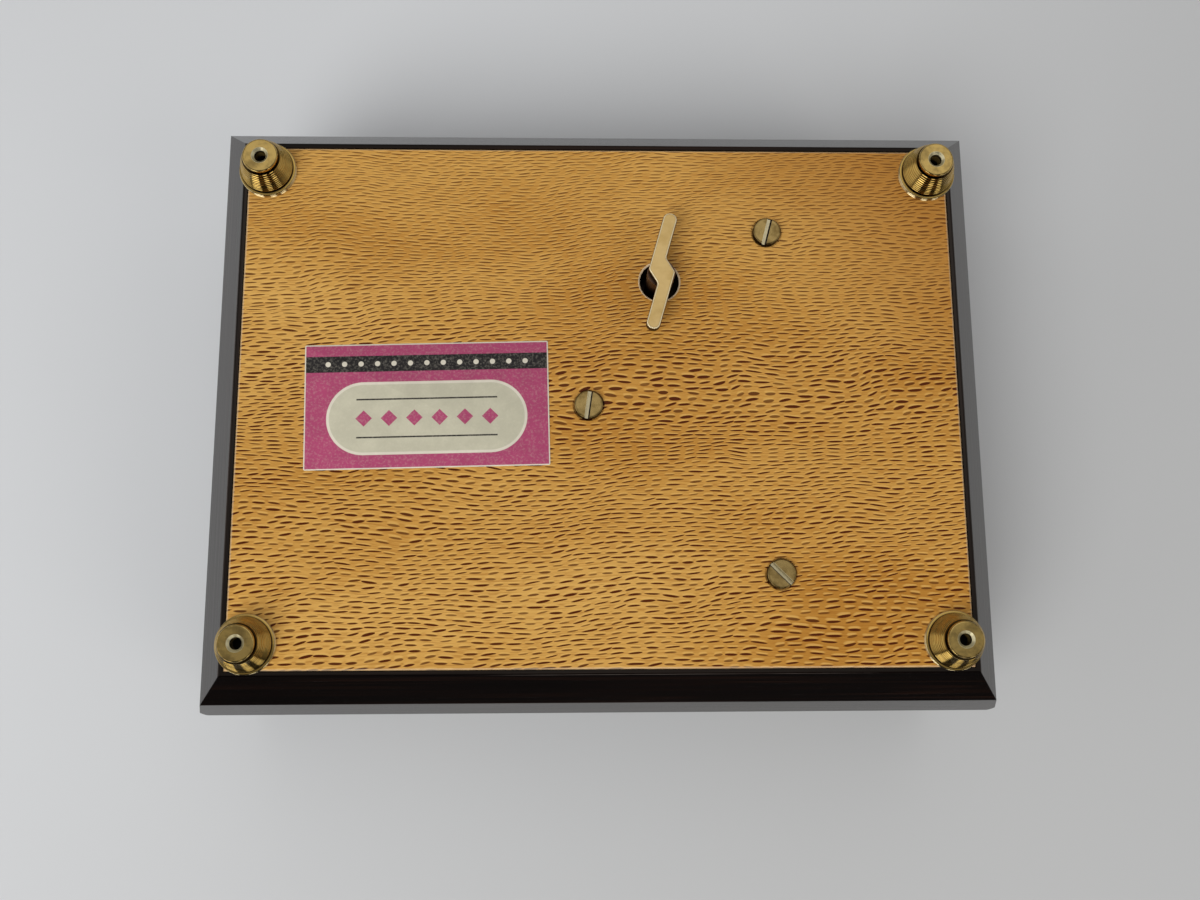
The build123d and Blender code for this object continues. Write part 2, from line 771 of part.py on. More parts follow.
def make_click():
    """Pawl with its eye, the screw it rocks on, and the leaf spring on a post behind it."""
    pivot_x, pivot_y = click_pivot()
    tip_angle = radians(click_contact_angle - ratchet_face_turn)
    tip_x = key_x + ratchet_root_radius * cos(tip_angle) - pivot_x
    tip_y = key_y + ratchet_root_radius * sin(tip_angle) - pivot_y
    reach = sqrt(tip_x ** 2 + tip_y ** 2)
    placed = Pos(pivot_x, pivot_y, 0) * Rot(0, 0, degrees(atan2(tip_y, tip_x)))
    outline = [(0, -click_eye_radius), (reach - click_nose_length, -click_tip_half_width),
               (reach, -click_tip_half_width), (reach, click_tip_half_width), (0, click_eye_radius)]
    arm = prism(outline, ratchet_bottom, ratchet_top) + rod(click_eye_radius, ratchet_bottom, ratchet_top)
    arm -= rod(small_screw_radius + running_gap, ratchet_bottom, ratchet_top)
    click = placed * arm
    room = prism(ratchet_points(click_gap, 0), ratchet_bottom, ratchet_top)
    room += prism(ratchet_points(click_gap, -click_face_turn), ratchet_bottom, ratchet_top)
    for index in range(click_lift_steps + 1):
        lift = click_lift * index / click_lift_steps
        click -= Pos(pivot_x, pivot_y, 0) * Rot(0, 0, lift) * Pos(-pivot_x, -pivot_y, 0) * room
    click = click.solids().sort_by(SortBy.VOLUME)[-1]
    screw = cheese_screw(pivot_x, pivot_y, ratchet_top + running_gap, ratchet_thickness + bridge_thickness)
    leaf_y = -click_eye_radius - click_gap
    spring = box_between((-click_post_offset, leaf_y - click_spring_thickness, ratchet_bottom),
                         (click_spring_reach, leaf_y, ratchet_top))
    post_place = (-click_post_offset, leaf_y - click_post_radius)
    spring += rod(click_post_radius, bridge_top, ratchet_top, "z", post_place)
    return {"click": click, "click_screw": screw, "click_spring": placed * spring}


# Movement on its bedplate

def bearing_screw_places():
    """Screws of the two cylinder bearings."""
    offset = bearing_half_width - small_screw_head_radius
    front = bearing_front + bearing_thickness + bearing_foot_length / 2
    back = rear_bearing_front + bearing_thickness + bearing_foot_length / 2
    return [(cylinder_x + side * offset, y) for y in (front, back) for side in (-1, 1)]


def comb_screw_places():
    """Screws along the comb body."""
    step = (cylinder_back - cylinder_front) / comb_screw_count
    x = comb_back - comb_screw_inset
    return [(x, cylinder_front + (index + 0.5) * step) for index in range(comb_screw_count)]


def frame_screw_places():
    """Screws of the governor frame."""
    y = (frame_front + frame_back) / 2 + small_screw_head_radius / 2
    return [(frame_right - small_screw_head_radius, y)]


def make_bedplate():
    """Plate with the bore of the arbor and the threaded holes."""
    width = bedplate_right - bedplate_left
    depth = bedplate_back - bedplate_front
    middle = Pos((bedplate_left + bedplate_right) / 2, (bedplate_front + bedplate_back) / 2, panel_top)
    plate = extrude(RectangleRounded(width, depth, bedplate_corner), bedplate_thickness)
    plate = middle * chamfer(plate.faces().sort_by(Axis.Z)[-1].edges(), bedplate_bevel)
    plate -= rod(arbor_radius + running_gap, panel_top, bedplate_top, "z", (key_x, key_y))
    for x, y, _ in movement_screw_places:
        plate -= rod(movement_screw_radius + seat_gap, panel_top, bedplate_top, "z", (x, y))
    for x, y in bearing_screw_places() + frame_screw_places():
        plate -= rod(small_screw_radius + seat_gap, panel_top, bedplate_top, "z", (x, y))
    return plate


def make_movement_screw(x, y, slot_angle):
    """Screw from below the panel into the bedplate, with a slotted head."""
    head_top = panel_bottom + movement_screw_seat_depth
    head_bottom = head_top - movement_screw_head_height
    head = rod(movement_screw_head_radius, head_bottom, head_top)
    head = fillet(head.faces().sort_by(Axis.Z)[0].edges(), movement_screw_edge_round)
    slot_half = movement_screw_head_radius + loose_gap
    head -= box_between((-slot_half, -screw_slot_width / 2, head_bottom),
                        (slot_half, screw_slot_width / 2, head_bottom + screw_slot_depth))
    shank = rod(movement_screw_radius, head_top, bedplate_top)
    return Pos(x, y, 0) * Rot(0, 0, slot_angle) * (head + shank)


def make_barrel():
    """Open cup that holds the mainspring."""
    cup = rod(barrel_radius, barrel_bottom, cover_bottom, "z", (key_x, key_y))
    cup -= rod(barrel_radius - barrel_wall, barrel_bottom + barrel_floor, cover_bottom, "z", (key_x, key_y))
    return cup - rod(arbor_radius + running_gap, barrel_bottom, cover_bottom, "z", (key_x, key_y))


def make_barrel_cover():
    """Cover of the barrel with the crown teeth standing on its edge."""
    disc = rod(barrel_radius, cover_bottom, cover_top, "z", (key_x, key_y))
    profile = [(-crown_tooth_root / 2, cover_top), (crown_tooth_root / 2, cover_top),
               (crown_tooth_tip / 2, crown_tip_z), (-crown_tooth_tip / 2, crown_tip_z)]
    tooth = prism_along_y(profile, crown_outer_radius - crown_tooth_width, crown_outer_radius)
    turns = [index * 360 / crown_teeth for index in range(crown_teeth)]
    teeth = [Pos(key_x, key_y, 0) * Rot(0, 0, turn) * tooth for turn in turns]
    return disc + teeth - rod(arbor_radius + running_gap, cover_bottom, cover_top, "z", (key_x, key_y))


def make_mainspring():
    """Flat spring strip, wound in half turns from the arbor to the barrel wall."""
    outer = barrel_radius - barrel_wall - spring_thickness
    half_turns = 2 * spring_turns
    step = (outer - spring_inner_radius) / half_turns
    lines = []
    radius = spring_inner_radius
    start_x = radius
    for index in range(half_turns):
        side = 1 if index % 2 == 0 else -1
        end_x = start_x - side * 2 * radius
        middle = ((start_x + end_x) / 2, side * radius)
        lines.append(ThreePointArc((start_x, 0), middle, (end_x, 0)))
        start_x = end_x
        radius += step
    print("mainspring gap between turns", round(2 * step - spring_thickness, 2))
    path = Wire(lines)
    low = barrel_bottom + barrel_floor + spring_end_gap
    high = cover_bottom - spring_end_gap
    section = Plane(path @ 0, x_dir=(1, 0, 0), z_dir=path % 0) * Rectangle(spring_thickness, high - low)
    return Pos(key_x, key_y, (low + high) / 2) * sweep(section, path=path)


def make_bridge():
    """Bar over the barrel on two posts, with its screws."""
    outline = SlotOverall(2 * bridge_half_length, 2 * bridge_half_width)
    bar = Pos(key_x, key_y, bridge_bottom) * extrude(outline, bridge_thickness)
    bar -= rod(arbor_radius + running_gap, bridge_bottom, bridge_top, "z", (key_x, key_y))
    pivot_x, pivot_y = click_pivot()
    bar -= rod(small_screw_radius + seat_gap, bridge_bottom, bridge_top, "z", (pivot_x, pivot_y))
    posts = []
    screws = []
    for side in (-1, 1):
        x = key_x + side * post_offset
        bar -= rod(small_screw_radius + seat_gap, bridge_bottom, bridge_top, "z", (x, key_y))
        post = rod(post_radius, bedplate_top, bridge_bottom, "z", (x, key_y))
        posts.append(post - screw_hole(x, key_y, bridge_bottom, small_screw_depth))
        screws.append(cheese_screw(x, key_y, bridge_top, bridge_thickness + small_screw_depth))
    return {"barrel_bridge": bar, "bridge_posts": posts, "bridge_screws": screws}


def make_cylinder_group():
    """Pinned cylinder with arbor, pinion and wheel, which turn as one."""
    across = (cylinder_x, cylinder_z)
    bore = cylinder_arbor_radius + seat_gap
    drum = rod(cylinder_radius, cylinder_front, cylinder_back, "y", across)
    cap_radius = cylinder_radius - cylinder_wall
    drum -= rod(cap_radius, cylinder_front, cylinder_front + cylinder_cap_recess, "y", across)
    drum -= rod(cap_radius, cylinder_back - cylinder_cap_recess, cylinder_back, "y", across)
    track_step = (cylinder_back - cylinder_front - 2 * comb_end_margin) / comb_teeth
    half = music_pin_width / 2
    pins = []
    for index in range(comb_teeth * music_pins_per_track):
        y = cylinder_front + comb_end_margin + (index % comb_teeth + 0.5) * track_step
        pin = box_between((cap_radius + half, -half, -half), (music_pin_radius, half, half))
        pins.append(Pos(cylinder_x, y, cylinder_z) * Rot(0, index * golden_angle, 0) * pin)
    drum = drum + pins - rod(bore, cylinder_front, cylinder_back, "y", across)

    pinion_low = pinion_y - pinion_width / 2
    pinion_high = pinion_y + pinion_width / 2
    gap_phase = -90 + 180 / pinion_teeth
    root_radius = pinion_pitch_radius - crown_dedendum
    tip_radius = pinion_pitch_radius + crown_addendum
    points = gear_points(pinion_teeth, root_radius, tip_radius, pinion_tooth_root, pinion_tooth_tip,
                         gap_phase)
    pinion = gear_along_y(points, cylinder_x, cylinder_z, pinion_low, pinion_high)
    wheel = gear_along_y(spur_points(wheel_teeth, wheel_module, wheel_backlash, governor_direction),
                         cylinder_x, cylinder_z, wheel_front, wheel_back)
    arbor_back = rear_bearing_front + bearing_thickness + arbor_overhang
    return {
        "cylinder": drum,
        "cylinder_pinion": pinion - rod(bore, pinion_low, pinion_high, "y", across),
        "cylinder_wheel": wheel - rod(bore, wheel_front, wheel_back, "y", across),
        "cylinder_arbor": rod(cylinder_arbor_radius, pinion_low - arbor_overhang, arbor_back, "y", across),
    }


def make_bearing(front):
    """Upright with a round head and a foot towards the back."""
    across = (cylinder_x, cylinder_z)
    left = cylinder_x - bearing_half_width
    right = cylinder_x + bearing_half_width
    back = front + bearing_thickness
    foot_top = bedplate_top + bearing_foot_height
    bearing = box_between((left, front, bedplate_top), (right, back, cylinder_z))
    bearing += rod(bearing_half_width, front, back, "y", across)
    bearing += box_between((left, front, bedplate_top), (right, back + bearing_foot_length, foot_top))
    bearing -= rod(cylinder_arbor_radius + running_gap, front, back, "y", across)
    for x, y in bearing_screw_places():
        bearing -= rod(small_screw_radius + seat_gap, bedplate_top, foot_top, "z", (x, y))
    return bearing


def make_bearing_screws():
    """Screws through the bearing feet into the bedplate."""
    depth = bearing_foot_height + bedplate_thickness
    return [cheese_screw(x, y, bedplate_top + bearing_foot_height, depth) for x, y in bearing_screw_places()]


def make_comb():
    """Steel comb whose free teeth are longest at the bass end, with its base and screws."""
    pitch = (cylinder_back - cylinder_front - 2 * comb_end_margin) / comb_teeth
    comb_top = comb_bottom + comb_body_thickness
    treble_root = comb_tip_x + comb_treble_length
    body_outline = [(comb_body_front, cylinder_front), (comb_back, cylinder_front),
                    (comb_back, cylinder_back), (treble_root, cylinder_back)]
    comb = prism(body_outline, comb_bottom, comb_top)
    tooth_top = comb_bottom + comb_tooth_thickness
    teeth = []
    for index in range(comb_teeth):
        front = cylinder_front + comb_end_margin + index * pitch + comb_gap / 2
        back = front + pitch - comb_gap
        teeth.append(box_between((comb_tip_x, front, comb_bottom), (comb_body_front, back, tooth_top)))
    comb += teeth
    base = box_between((comb_body_front + comb_base_inset, cylinder_front, bedplate_top),
                       (comb_back, cylinder_back, comb_bottom))
    screws = []
    for x, y in comb_screw_places():
        comb -= rod(small_screw_radius + seat_gap, comb_bottom, comb_top, "z", (x, y))
        base -= screw_hole(x, y, comb_bottom, small_screw_depth)
        screws.append(cheese_screw(x, y, comb_top, comb_body_thickness + small_screw_depth))
    return {"comb": comb, "comb_base": base, "comb_screws": screws}


def make_worm():
    """Worm on its arbor: a two-lobed section turned as it rises, joined by ruled faces."""
    lead = worm_starts * pi * worm_module
    tip = worm_radius + worm_tip_height
    root = worm_radius - worm_root_depth
    lobe = [(root, -worm_root_turn), (tip, -worm_tip_turn), (tip, 0), (tip, worm_tip_turn),
            (root, worm_root_turn)]
    steps = int(worm_length / lead * worm_steps_per_turn)
    sections = []
    for index in range(steps + 1):
        height = -worm_length / 2 + worm_length * index / steps
        middle = worm_phase + 360 * height / lead
        points = []
        for start in range(worm_starts):
            for radius, turn in lobe + [(root, 180 / worm_starts)]:
                angle = radians(middle + turn + 360 * start / worm_starts)
                points.append((radius * cos(angle), radius * sin(angle)))
        face = make_face(Polyline(*points, close=True))
        sections.append(Pos(worm_x, worm_wheel_y, governor_z + height) * face)
    thread = loft(sections, ruled=True)
    high = frame_cock_bottom + frame_cock_thickness
    return thread + rod(worm_arbor_radius, worm_arbor_bottom, high, "z", (worm_x, worm_wheel_y))


def make_governor():
    """Second arbor with its pinion, worm wheel, worm with fan, frame and screws."""
    across = (governor_x, governor_z)
    arbor_back = frame_back + frame_cheek_thickness
    arbor = rod(governor_arbor_radius, wheel_front, arbor_back, "y", across)
    gap_phase = governor_direction - 180 + 180 / governor_pinion_teeth
    pinion_points = spur_points(governor_pinion_teeth, wheel_module, wheel_backlash, gap_phase)
    arbor += gear_along_y(pinion_points, governor_x, governor_z, wheel_front, wheel_back)

    low = worm_wheel_y - worm_wheel_width / 2
    high = worm_wheel_y + worm_wheel_width / 2
    worm_wheel_points = spur_points(worm_wheel_teeth, worm_module, worm_backlash, 0)
    worm_wheel = gear_along_y(worm_wheel_points, governor_x, governor_z, low, high)
    worm_wheel -= rod(governor_arbor_radius + seat_gap, low, high, "y", across)

    hub = rod(fan_hub_radius, fan_bottom, fan_top)
    blades = Pos(0, 0, (fan_bottom + fan_top) / 2) * Box(2 * fan_radius, fan_thickness, fan_height)
    blades = fillet(blades.edges().filter_by(Axis.Y), fan_corner_round)
    fan = hub + blades - rod(worm_arbor_radius + seat_gap, fan_bottom, fan_top)

    cheek_top = governor_z + frame_margin
    cock_left = worm_x - frame_cock_half_width
    cock_right = worm_x + frame_cock_half_width
    cock_top = frame_cock_bottom + frame_cock_thickness
    frame = box_between((frame_left, frame_front, bedplate_top), (frame_right, arbor_back, frame_base_top))
    frame += box_between((governor_x - frame_margin, frame_front, bedplate_top),
                         (frame_right, frame_front + frame_cheek_thickness, cheek_top))
    frame += box_between((frame_left, frame_back, bedplate_top), (frame_right, arbor_back, cheek_top))
    frame += box_between((cock_left, frame_back, bedplate_top), (cock_right, arbor_back, cock_top))
    frame += box_between((cock_left, worm_wheel_y - frame_cock_half_width, frame_cock_bottom),
                         (cock_right, arbor_back, cock_top))
    frame -= rod(governor_arbor_radius + running_gap, frame_front, arbor_back, "y", across)
    worm_bore = worm_arbor_radius + running_gap
    frame -= rod(worm_bore, worm_arbor_bottom - loose_gap, cock_top, "z", (worm_x, worm_wheel_y))
    screws = []
    for x, y in frame_screw_places():
        frame -= rod(small_screw_radius + seat_gap, bedplate_top, frame_base_top, "z", (x, y))
        screws.append(cheese_screw(x, y, frame_base_top, frame_base_height + bedplate_thickness))
    return {
        "governor_arbor": arbor,
        "worm_wheel": worm_wheel,
        "worm_arbor": make_worm(),
        "fan": Pos(worm_x, worm_wheel_y, 0) * fan,
        "governor_frame": frame,
        "governor_screws": screws,
    }


def make_stop():
    """Rod that the lid presses, with the arm that holds the fan, and its guide post."""
    across = (stop_x, stop_y)
    upright = rod(stop_rod_radius, stop_rod_bottom, stop_rod_top, "z", across)
    upright = fillet(upright.faces().sort_by(Axis.Z)[-1].edges(), stop_rod_end_round)
    arm_half = stop_arm_height / 2
    arm = box_between((stop_x, stop_y - arm_half, stop_arm_z - arm_half),
                      (stop_x + stop_arm_length, stop_y + arm_half, stop_arm_z + arm_half))
    half = stop_guide_size / 2
    guide_top = bedplate_top + stop_guide_height
    guide = box_between((stop_x - half, stop_y - half, bedplate_top),
                        (stop_x + half, stop_y + half, guide_top))
    socket = rod(stop_rod_radius + running_gap, stop_rod_bottom - loose_gap, guide_top, "z", across)
    return {"stop_rod": upright + arm, "stop_guide": guide - socket}


def write_nodes(nodes):
    """Write each node to its own file, moved so that the origin lies under the middle of the box."""
    os.makedirs("parts", exist_ok=True)
    for name, shape in nodes.items():
        solids = shape if isinstance(shape, list) else [shape]
        moved = [Pos(0, case_shift_y, 0) * solid for solid in solids]
        export_step(moved[0] if len(moved) == 1 else Compound(children=moved), f"parts/{name}.step")


nodes = make_walls()
nodes["bottom_panel"] = make_bottom_panel()
nodes["partition"] = make_partition()
nodes["pane_ledges"] = make_ledges()
nodes["glass_pane"] = make_pane()
nodes["storage_lining"] = make_storage_lining()
for foot_name, foot_place in foot_places().items():
    nodes[foot_name] = Pos(*foot_place, 0) * make_foot()
nodes["foot_pins"] = [Pos(*foot_place, 0) * make_foot_pin() for foot_place in foot_places().values()]
nodes["lid_panel"] = make_lid_panel()
nodes["lid_lining"] = make_lid_lining()
nodes.update(make_hinges())
nodes.update(make_winding())
nodes.update(make_click())
nodes["bedplate"] = make_bedplate()
nodes["movement_screws"] = [make_movement_screw(*place) for place in movement_screw_places]
nodes["barrel"] = make_barrel()
nodes["barrel_cover"] = make_barrel_cover()
nodes["mainspring"] = make_mainspring()
nodes.update(make_bridge())
nodes.update(make_cylinder_group())
nodes["cylinder_bearing_front"] = make_bearing(bearing_front)
nodes["cylinder_bearing_back"] = make_bearing(rear_bearing_front)
nodes["bearing_screws"] = make_bearing_screws()
nodes.update(make_comb())
nodes.update(make_governor())
nodes.update(make_stop())
write_nodes(nodes)
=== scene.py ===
"""Wind up music box: finishes, soft linings, printed sticker and stage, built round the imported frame."""
import logging
import math
import random
from dataclasses import dataclass, field
from enum import Enum
from typing import Iterable, Mapping, Optional, Sequence, Tuple, Union

import bpy
from mathutils import Matrix, Vector


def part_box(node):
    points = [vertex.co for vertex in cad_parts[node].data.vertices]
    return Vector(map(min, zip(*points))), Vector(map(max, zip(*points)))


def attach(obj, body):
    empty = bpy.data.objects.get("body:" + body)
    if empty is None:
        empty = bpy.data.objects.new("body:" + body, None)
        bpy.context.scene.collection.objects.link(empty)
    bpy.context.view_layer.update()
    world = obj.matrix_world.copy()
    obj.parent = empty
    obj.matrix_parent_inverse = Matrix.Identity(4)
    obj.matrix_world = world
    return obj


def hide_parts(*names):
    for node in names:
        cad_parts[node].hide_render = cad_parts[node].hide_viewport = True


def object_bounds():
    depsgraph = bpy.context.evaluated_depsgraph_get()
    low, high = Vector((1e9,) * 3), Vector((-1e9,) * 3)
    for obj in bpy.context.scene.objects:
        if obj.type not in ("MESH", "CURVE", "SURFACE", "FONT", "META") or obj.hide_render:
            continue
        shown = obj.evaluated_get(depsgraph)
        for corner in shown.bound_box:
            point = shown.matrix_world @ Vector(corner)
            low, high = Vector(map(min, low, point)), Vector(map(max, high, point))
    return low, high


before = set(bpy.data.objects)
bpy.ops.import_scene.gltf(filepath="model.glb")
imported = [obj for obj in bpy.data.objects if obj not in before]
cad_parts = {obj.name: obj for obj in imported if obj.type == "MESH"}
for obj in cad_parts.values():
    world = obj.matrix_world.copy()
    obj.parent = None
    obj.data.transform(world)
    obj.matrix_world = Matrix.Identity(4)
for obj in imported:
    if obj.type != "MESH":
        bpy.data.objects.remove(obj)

LOG = logging.getLogger("music_box")
MM = 0.001
CAD_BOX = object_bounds()

Colour = Tuple[float, float, float]
Point = Tuple[float, float, float]
Pair = Tuple[float, float]
Span = Tuple[float, float, float, float]
Socket = bpy.types.NodeSocket
Material = bpy.types.Material
Piece = bpy.types.Object


class Grain(Enum):
    """Axis along which the wood of a board runs."""

    ALONG_X = 0
    ALONG_Y = 1

    def stretch(self, along: float, across: float) -> Point:
        """Return noise scales that are drawn out along the grain."""
        return tuple(along if axis == self.value else across for axis in range(3))


class Turning(Enum):
    """How the surface of a metal piece was worked, as the noise scales of its marks."""

    DRAWN = (2600, 160, 2600)
    POLISHED = (700, 700, 700)


class Side(Enum):
    """The side from which a stage sheet shows."""

    ABOVE = "above"
    BELOW = "below"


def linear(red: int, green: int, blue: int) -> Colour:
    """Turn a display colour into the linear one that the shaders take.

    Args:
        red: Red from 0 to 255.
        green: Green from 0 to 255.
        blue: Blue from 0 to 255.

    Returns:
        The linear colour, each channel from 0 to 1.
    """
    def channel(value: int) -> float:
        """Undo the display curve of one channel."""
        share = value / 255
        return share / 12.92 if share <= 0.04045 else ((share + 0.055) / 1.055) ** 2.4

    return channel(red), channel(green), channel(blue)


@dataclass(frozen=True)
class Value:
    """A number, vector, colour or shader inside a node tree; numbers take the signs of arithmetic."""

    graph: "Graph"
    socket: Socket

    def __add__(self, other: "Feed") -> "Value":
        """Return the sum."""
        return self.graph.math("ADD", self, other)

    def __sub__(self, other: "Feed") -> "Value":
        """Return the difference."""
        return self.graph.math("SUBTRACT", self, other)

    def __rsub__(self, other: "Feed") -> "Value":
        """Return the difference from a constant."""
        return self.graph.math("SUBTRACT", other, self)

    def __mul__(self, other: "Feed") -> "Value":
        """Return the product."""
        return self.graph.math("MULTIPLY", self, other)

    def __truediv__(self, other: "Feed") -> "Value":
        """Return the quotient."""
        return self.graph.math("DIVIDE", self, other)

    def __abs__(self) -> "Value":
        """Return the value without its sign."""
        return self.graph.math("ABSOLUTE", self)

    def least(self, other: "Feed") -> "Value":
        """Return the lesser of two values."""
        return self.graph.math("MINIMUM", self, other)

    def most(self, other: "Feed") -> "Value":
        """Return the greater of two values."""
        return self.graph.math("MAXIMUM", self, other)

    def split(self) -> Tuple["Value", "Value", "Value"]:
        """Return the three values of a vector or colour."""
        node = self.graph.call("SeparateXYZ", {0: self}).socket.node
        return tuple(Value(self.graph, output) for output in node.outputs)

    def depth_in(self, low: float, high: float) -> "Value":
        """Return how far inside a range the value lies."""
        return (self - low).least(high - self)

    def ramp(self, low: float, high: float, start: float = 0.0, end: float = 1.0) -> "Value":
        """Map the range from low to high smoothly to that from start to end, and hold its ends."""
        inputs = dict(enumerate((self, low, high, start, end)))
        return self.graph.call("MapRange", inputs, interpolation_type="SMOOTHSTEP")

    def between(self, start: float, full: float, fade: float, end: float) -> "Value":
        """Return a mask that rises from start to full and falls from fade to end."""
        return self.ramp(start, full) * self.ramp(end, fade)


Feed = Union[float, Sequence[float], Value]


class Graph:
    """Node tree of a material or of the world, with a short call for each node in use."""

    def __init__(self, owner: Union[Material, bpy.types.World], kind: str, source: str) -> None:
        """Start an empty tree.

        Args:
            owner: What the tree belongs to.
            kind: Kind of its output node, Material or World.
            source: Name of the coordinates that are read.
        """
        owner.use_nodes = True
        self.tree = owner.node_tree
        self.tree.nodes.clear()
        self.output = self.tree.nodes.new("ShaderNodeOutput" + kind)
        self.place = self.call("TexCoord", {}, source)
        self.x, self.y, self.z = self.place.split()

    def feed(self, socket: Socket, value: Feed) -> None:
        """Link or set one input.

        Args:
            socket: The input.
            value: A value of the tree to link, or a constant.
        """
        if isinstance(value, Value):
            self.tree.links.new(value.socket, socket)
        elif socket.type == "RGBA" and len(value) == 3:
            socket.default_value = (*value, 1.0)
        else:
            socket.default_value = value

    def call(self, kind: str, inputs: Mapping[Union[int, str], Feed], output: Union[int, str] = 0,
             **settings: object) -> Value:
        """Add a node, feed it and read it.

        Args:
            kind: Type name of the node without its prefix.
            inputs: What goes into it, by name or number.
            output: Name or number of the output that is read.
            **settings: Properties to set on it.

        Returns:
            What comes out of it.
        """
        node = self.tree.nodes.new("ShaderNode" + kind)
        for key, value in settings.items():
            setattr(node, key, value)
        for key, value in inputs.items():
            self.feed(node.inputs[key], value)
        return Value(self, node.outputs[output])

    def math(self, operation: str, first: Feed, second: Feed = 0.0) -> Value:
        """Return the result of a Math node."""
        return self.call("Math", {0: first, 1: second}, operation=operation)

    def distance(self, x: Value, y: Value) -> Value:
        """Return the length of a flat vector."""
        return self.math("SQRT", x * x + y * y)

    def combine(self, x: Feed, y: Feed, z: Feed = 0.0) -> Value:
        """Return a vector of three values."""
        return self.call("CombineXYZ", {0: x, 1: y, 2: z})

    def mapped(self, vector: Value, location: Point = (0, 0, 0), turn: Point = (0, 0, 0),
               scale: Point = (1, 1, 1)) -> Value:
        """Scale a vector, turn it by angles in radians and move it, in that order."""
        inputs = {"Vector": vector, "Location": location, "Rotation": turn, "Scale": scale}
        return self.call("Mapping", inputs)

    def noise(self, scale: Union[float, Point], detail: float = 3.0, roughness: float = 0.5,
              distortion: float = 0.0, at: Optional[Value] = None, **mapping: Point) -> Value:
        """Read a noise, about 0.5 on average.

        Args:
            scale: Its scale, one for all axes or one for each.
            detail: Its octaves.
            roughness: Weight of the finer octaves.
            distortion: How far it is bent.
            at: Where it is read, if not at the place itself.
            **mapping: Location or turn of the mapping.

        Returns:
            The noise.
        """
        scales = (scale,) * 3 if isinstance(scale, (int, float)) else scale
        vector = self.mapped(self.place if at is None else at, scale=scales, **mapping)
        inputs = {"Vector": vector, "Scale": 1.0, "Detail": detail, "Roughness": roughness,
                  "Distortion": distortion}
        return self.call("TexNoise", inputs)

    def layers(self, base: Feed, *coats: Tuple[Value, Colour]) -> Value:
        """Lay colours one over the other.

        Args:
            base: The lowest colour.
            *coats: Share, from 0 to 1, and colour of each one above it.

        Returns:
            The colour that shows.
        """
        for share, colour in coats:
            base = self.call("Mix", {0: share, 6: base, 7: colour}, 2, data_type="RGBA")
        return base

    def bump(self, height: Value, depth: float, strength: float = 1.0,
             normal: Optional[Value] = None) -> Value:
        """Turn a height into a normal.

        Args:
            height: Height from 0 to 1.
            depth: What a height of 1 stands for, in metres.
            strength: Share of it that shows.
            normal: A bump to add to.

        Returns:
            The normal.
        """
        inputs = {"Strength": strength, "Distance": depth, "Height": height}
        if normal is not None:
            inputs["Normal"] = normal
        return self.call("Bump", inputs)

    def show(self, shader: Value) -> None:
        """Join a shader to the output."""
        self.feed(self.output.inputs["Surface"], shader)

    def surface(self, **inputs: Feed) -> Value:
        """Add the main shader and show it.

        Args:
            **inputs: Its inputs, with _ for a space.

        Returns:
            The shader.
        """
        shader = self.call("BsdfPrincipled", {key.replace("_", " "): value for key, value in inputs.items()})
        self.show(shader)
        return shader

    def clear_where(self, share: Value, shader: Value, tint: Colour = (1.0, 1.0, 1.0)) -> None:
        """Let tinted light straight through where the share is 1, and show the shader where it is 0."""
        clear = self.call("BsdfTransparent", {"Color": tint})
        self.show(self.call("MixShader", {0: share, 1: shader, 2: clear}))


@dataclass(frozen=True)
class Finish:
    """What covers a piece; each kind paints its own graph."""

    name: str

    def make(self) -> Material:
        """Build the material.

        Returns:
            The material.
        """
        material = bpy.data.materials.new(self.name)
        self.paint(Graph(material, "Material", "Object"))
        return material

    def paint(self, graph: Graph) -> None:
        """Lay the finish on; Object coordinates are metres in the frame of the box."""
        raise NotImplementedError(self.name)


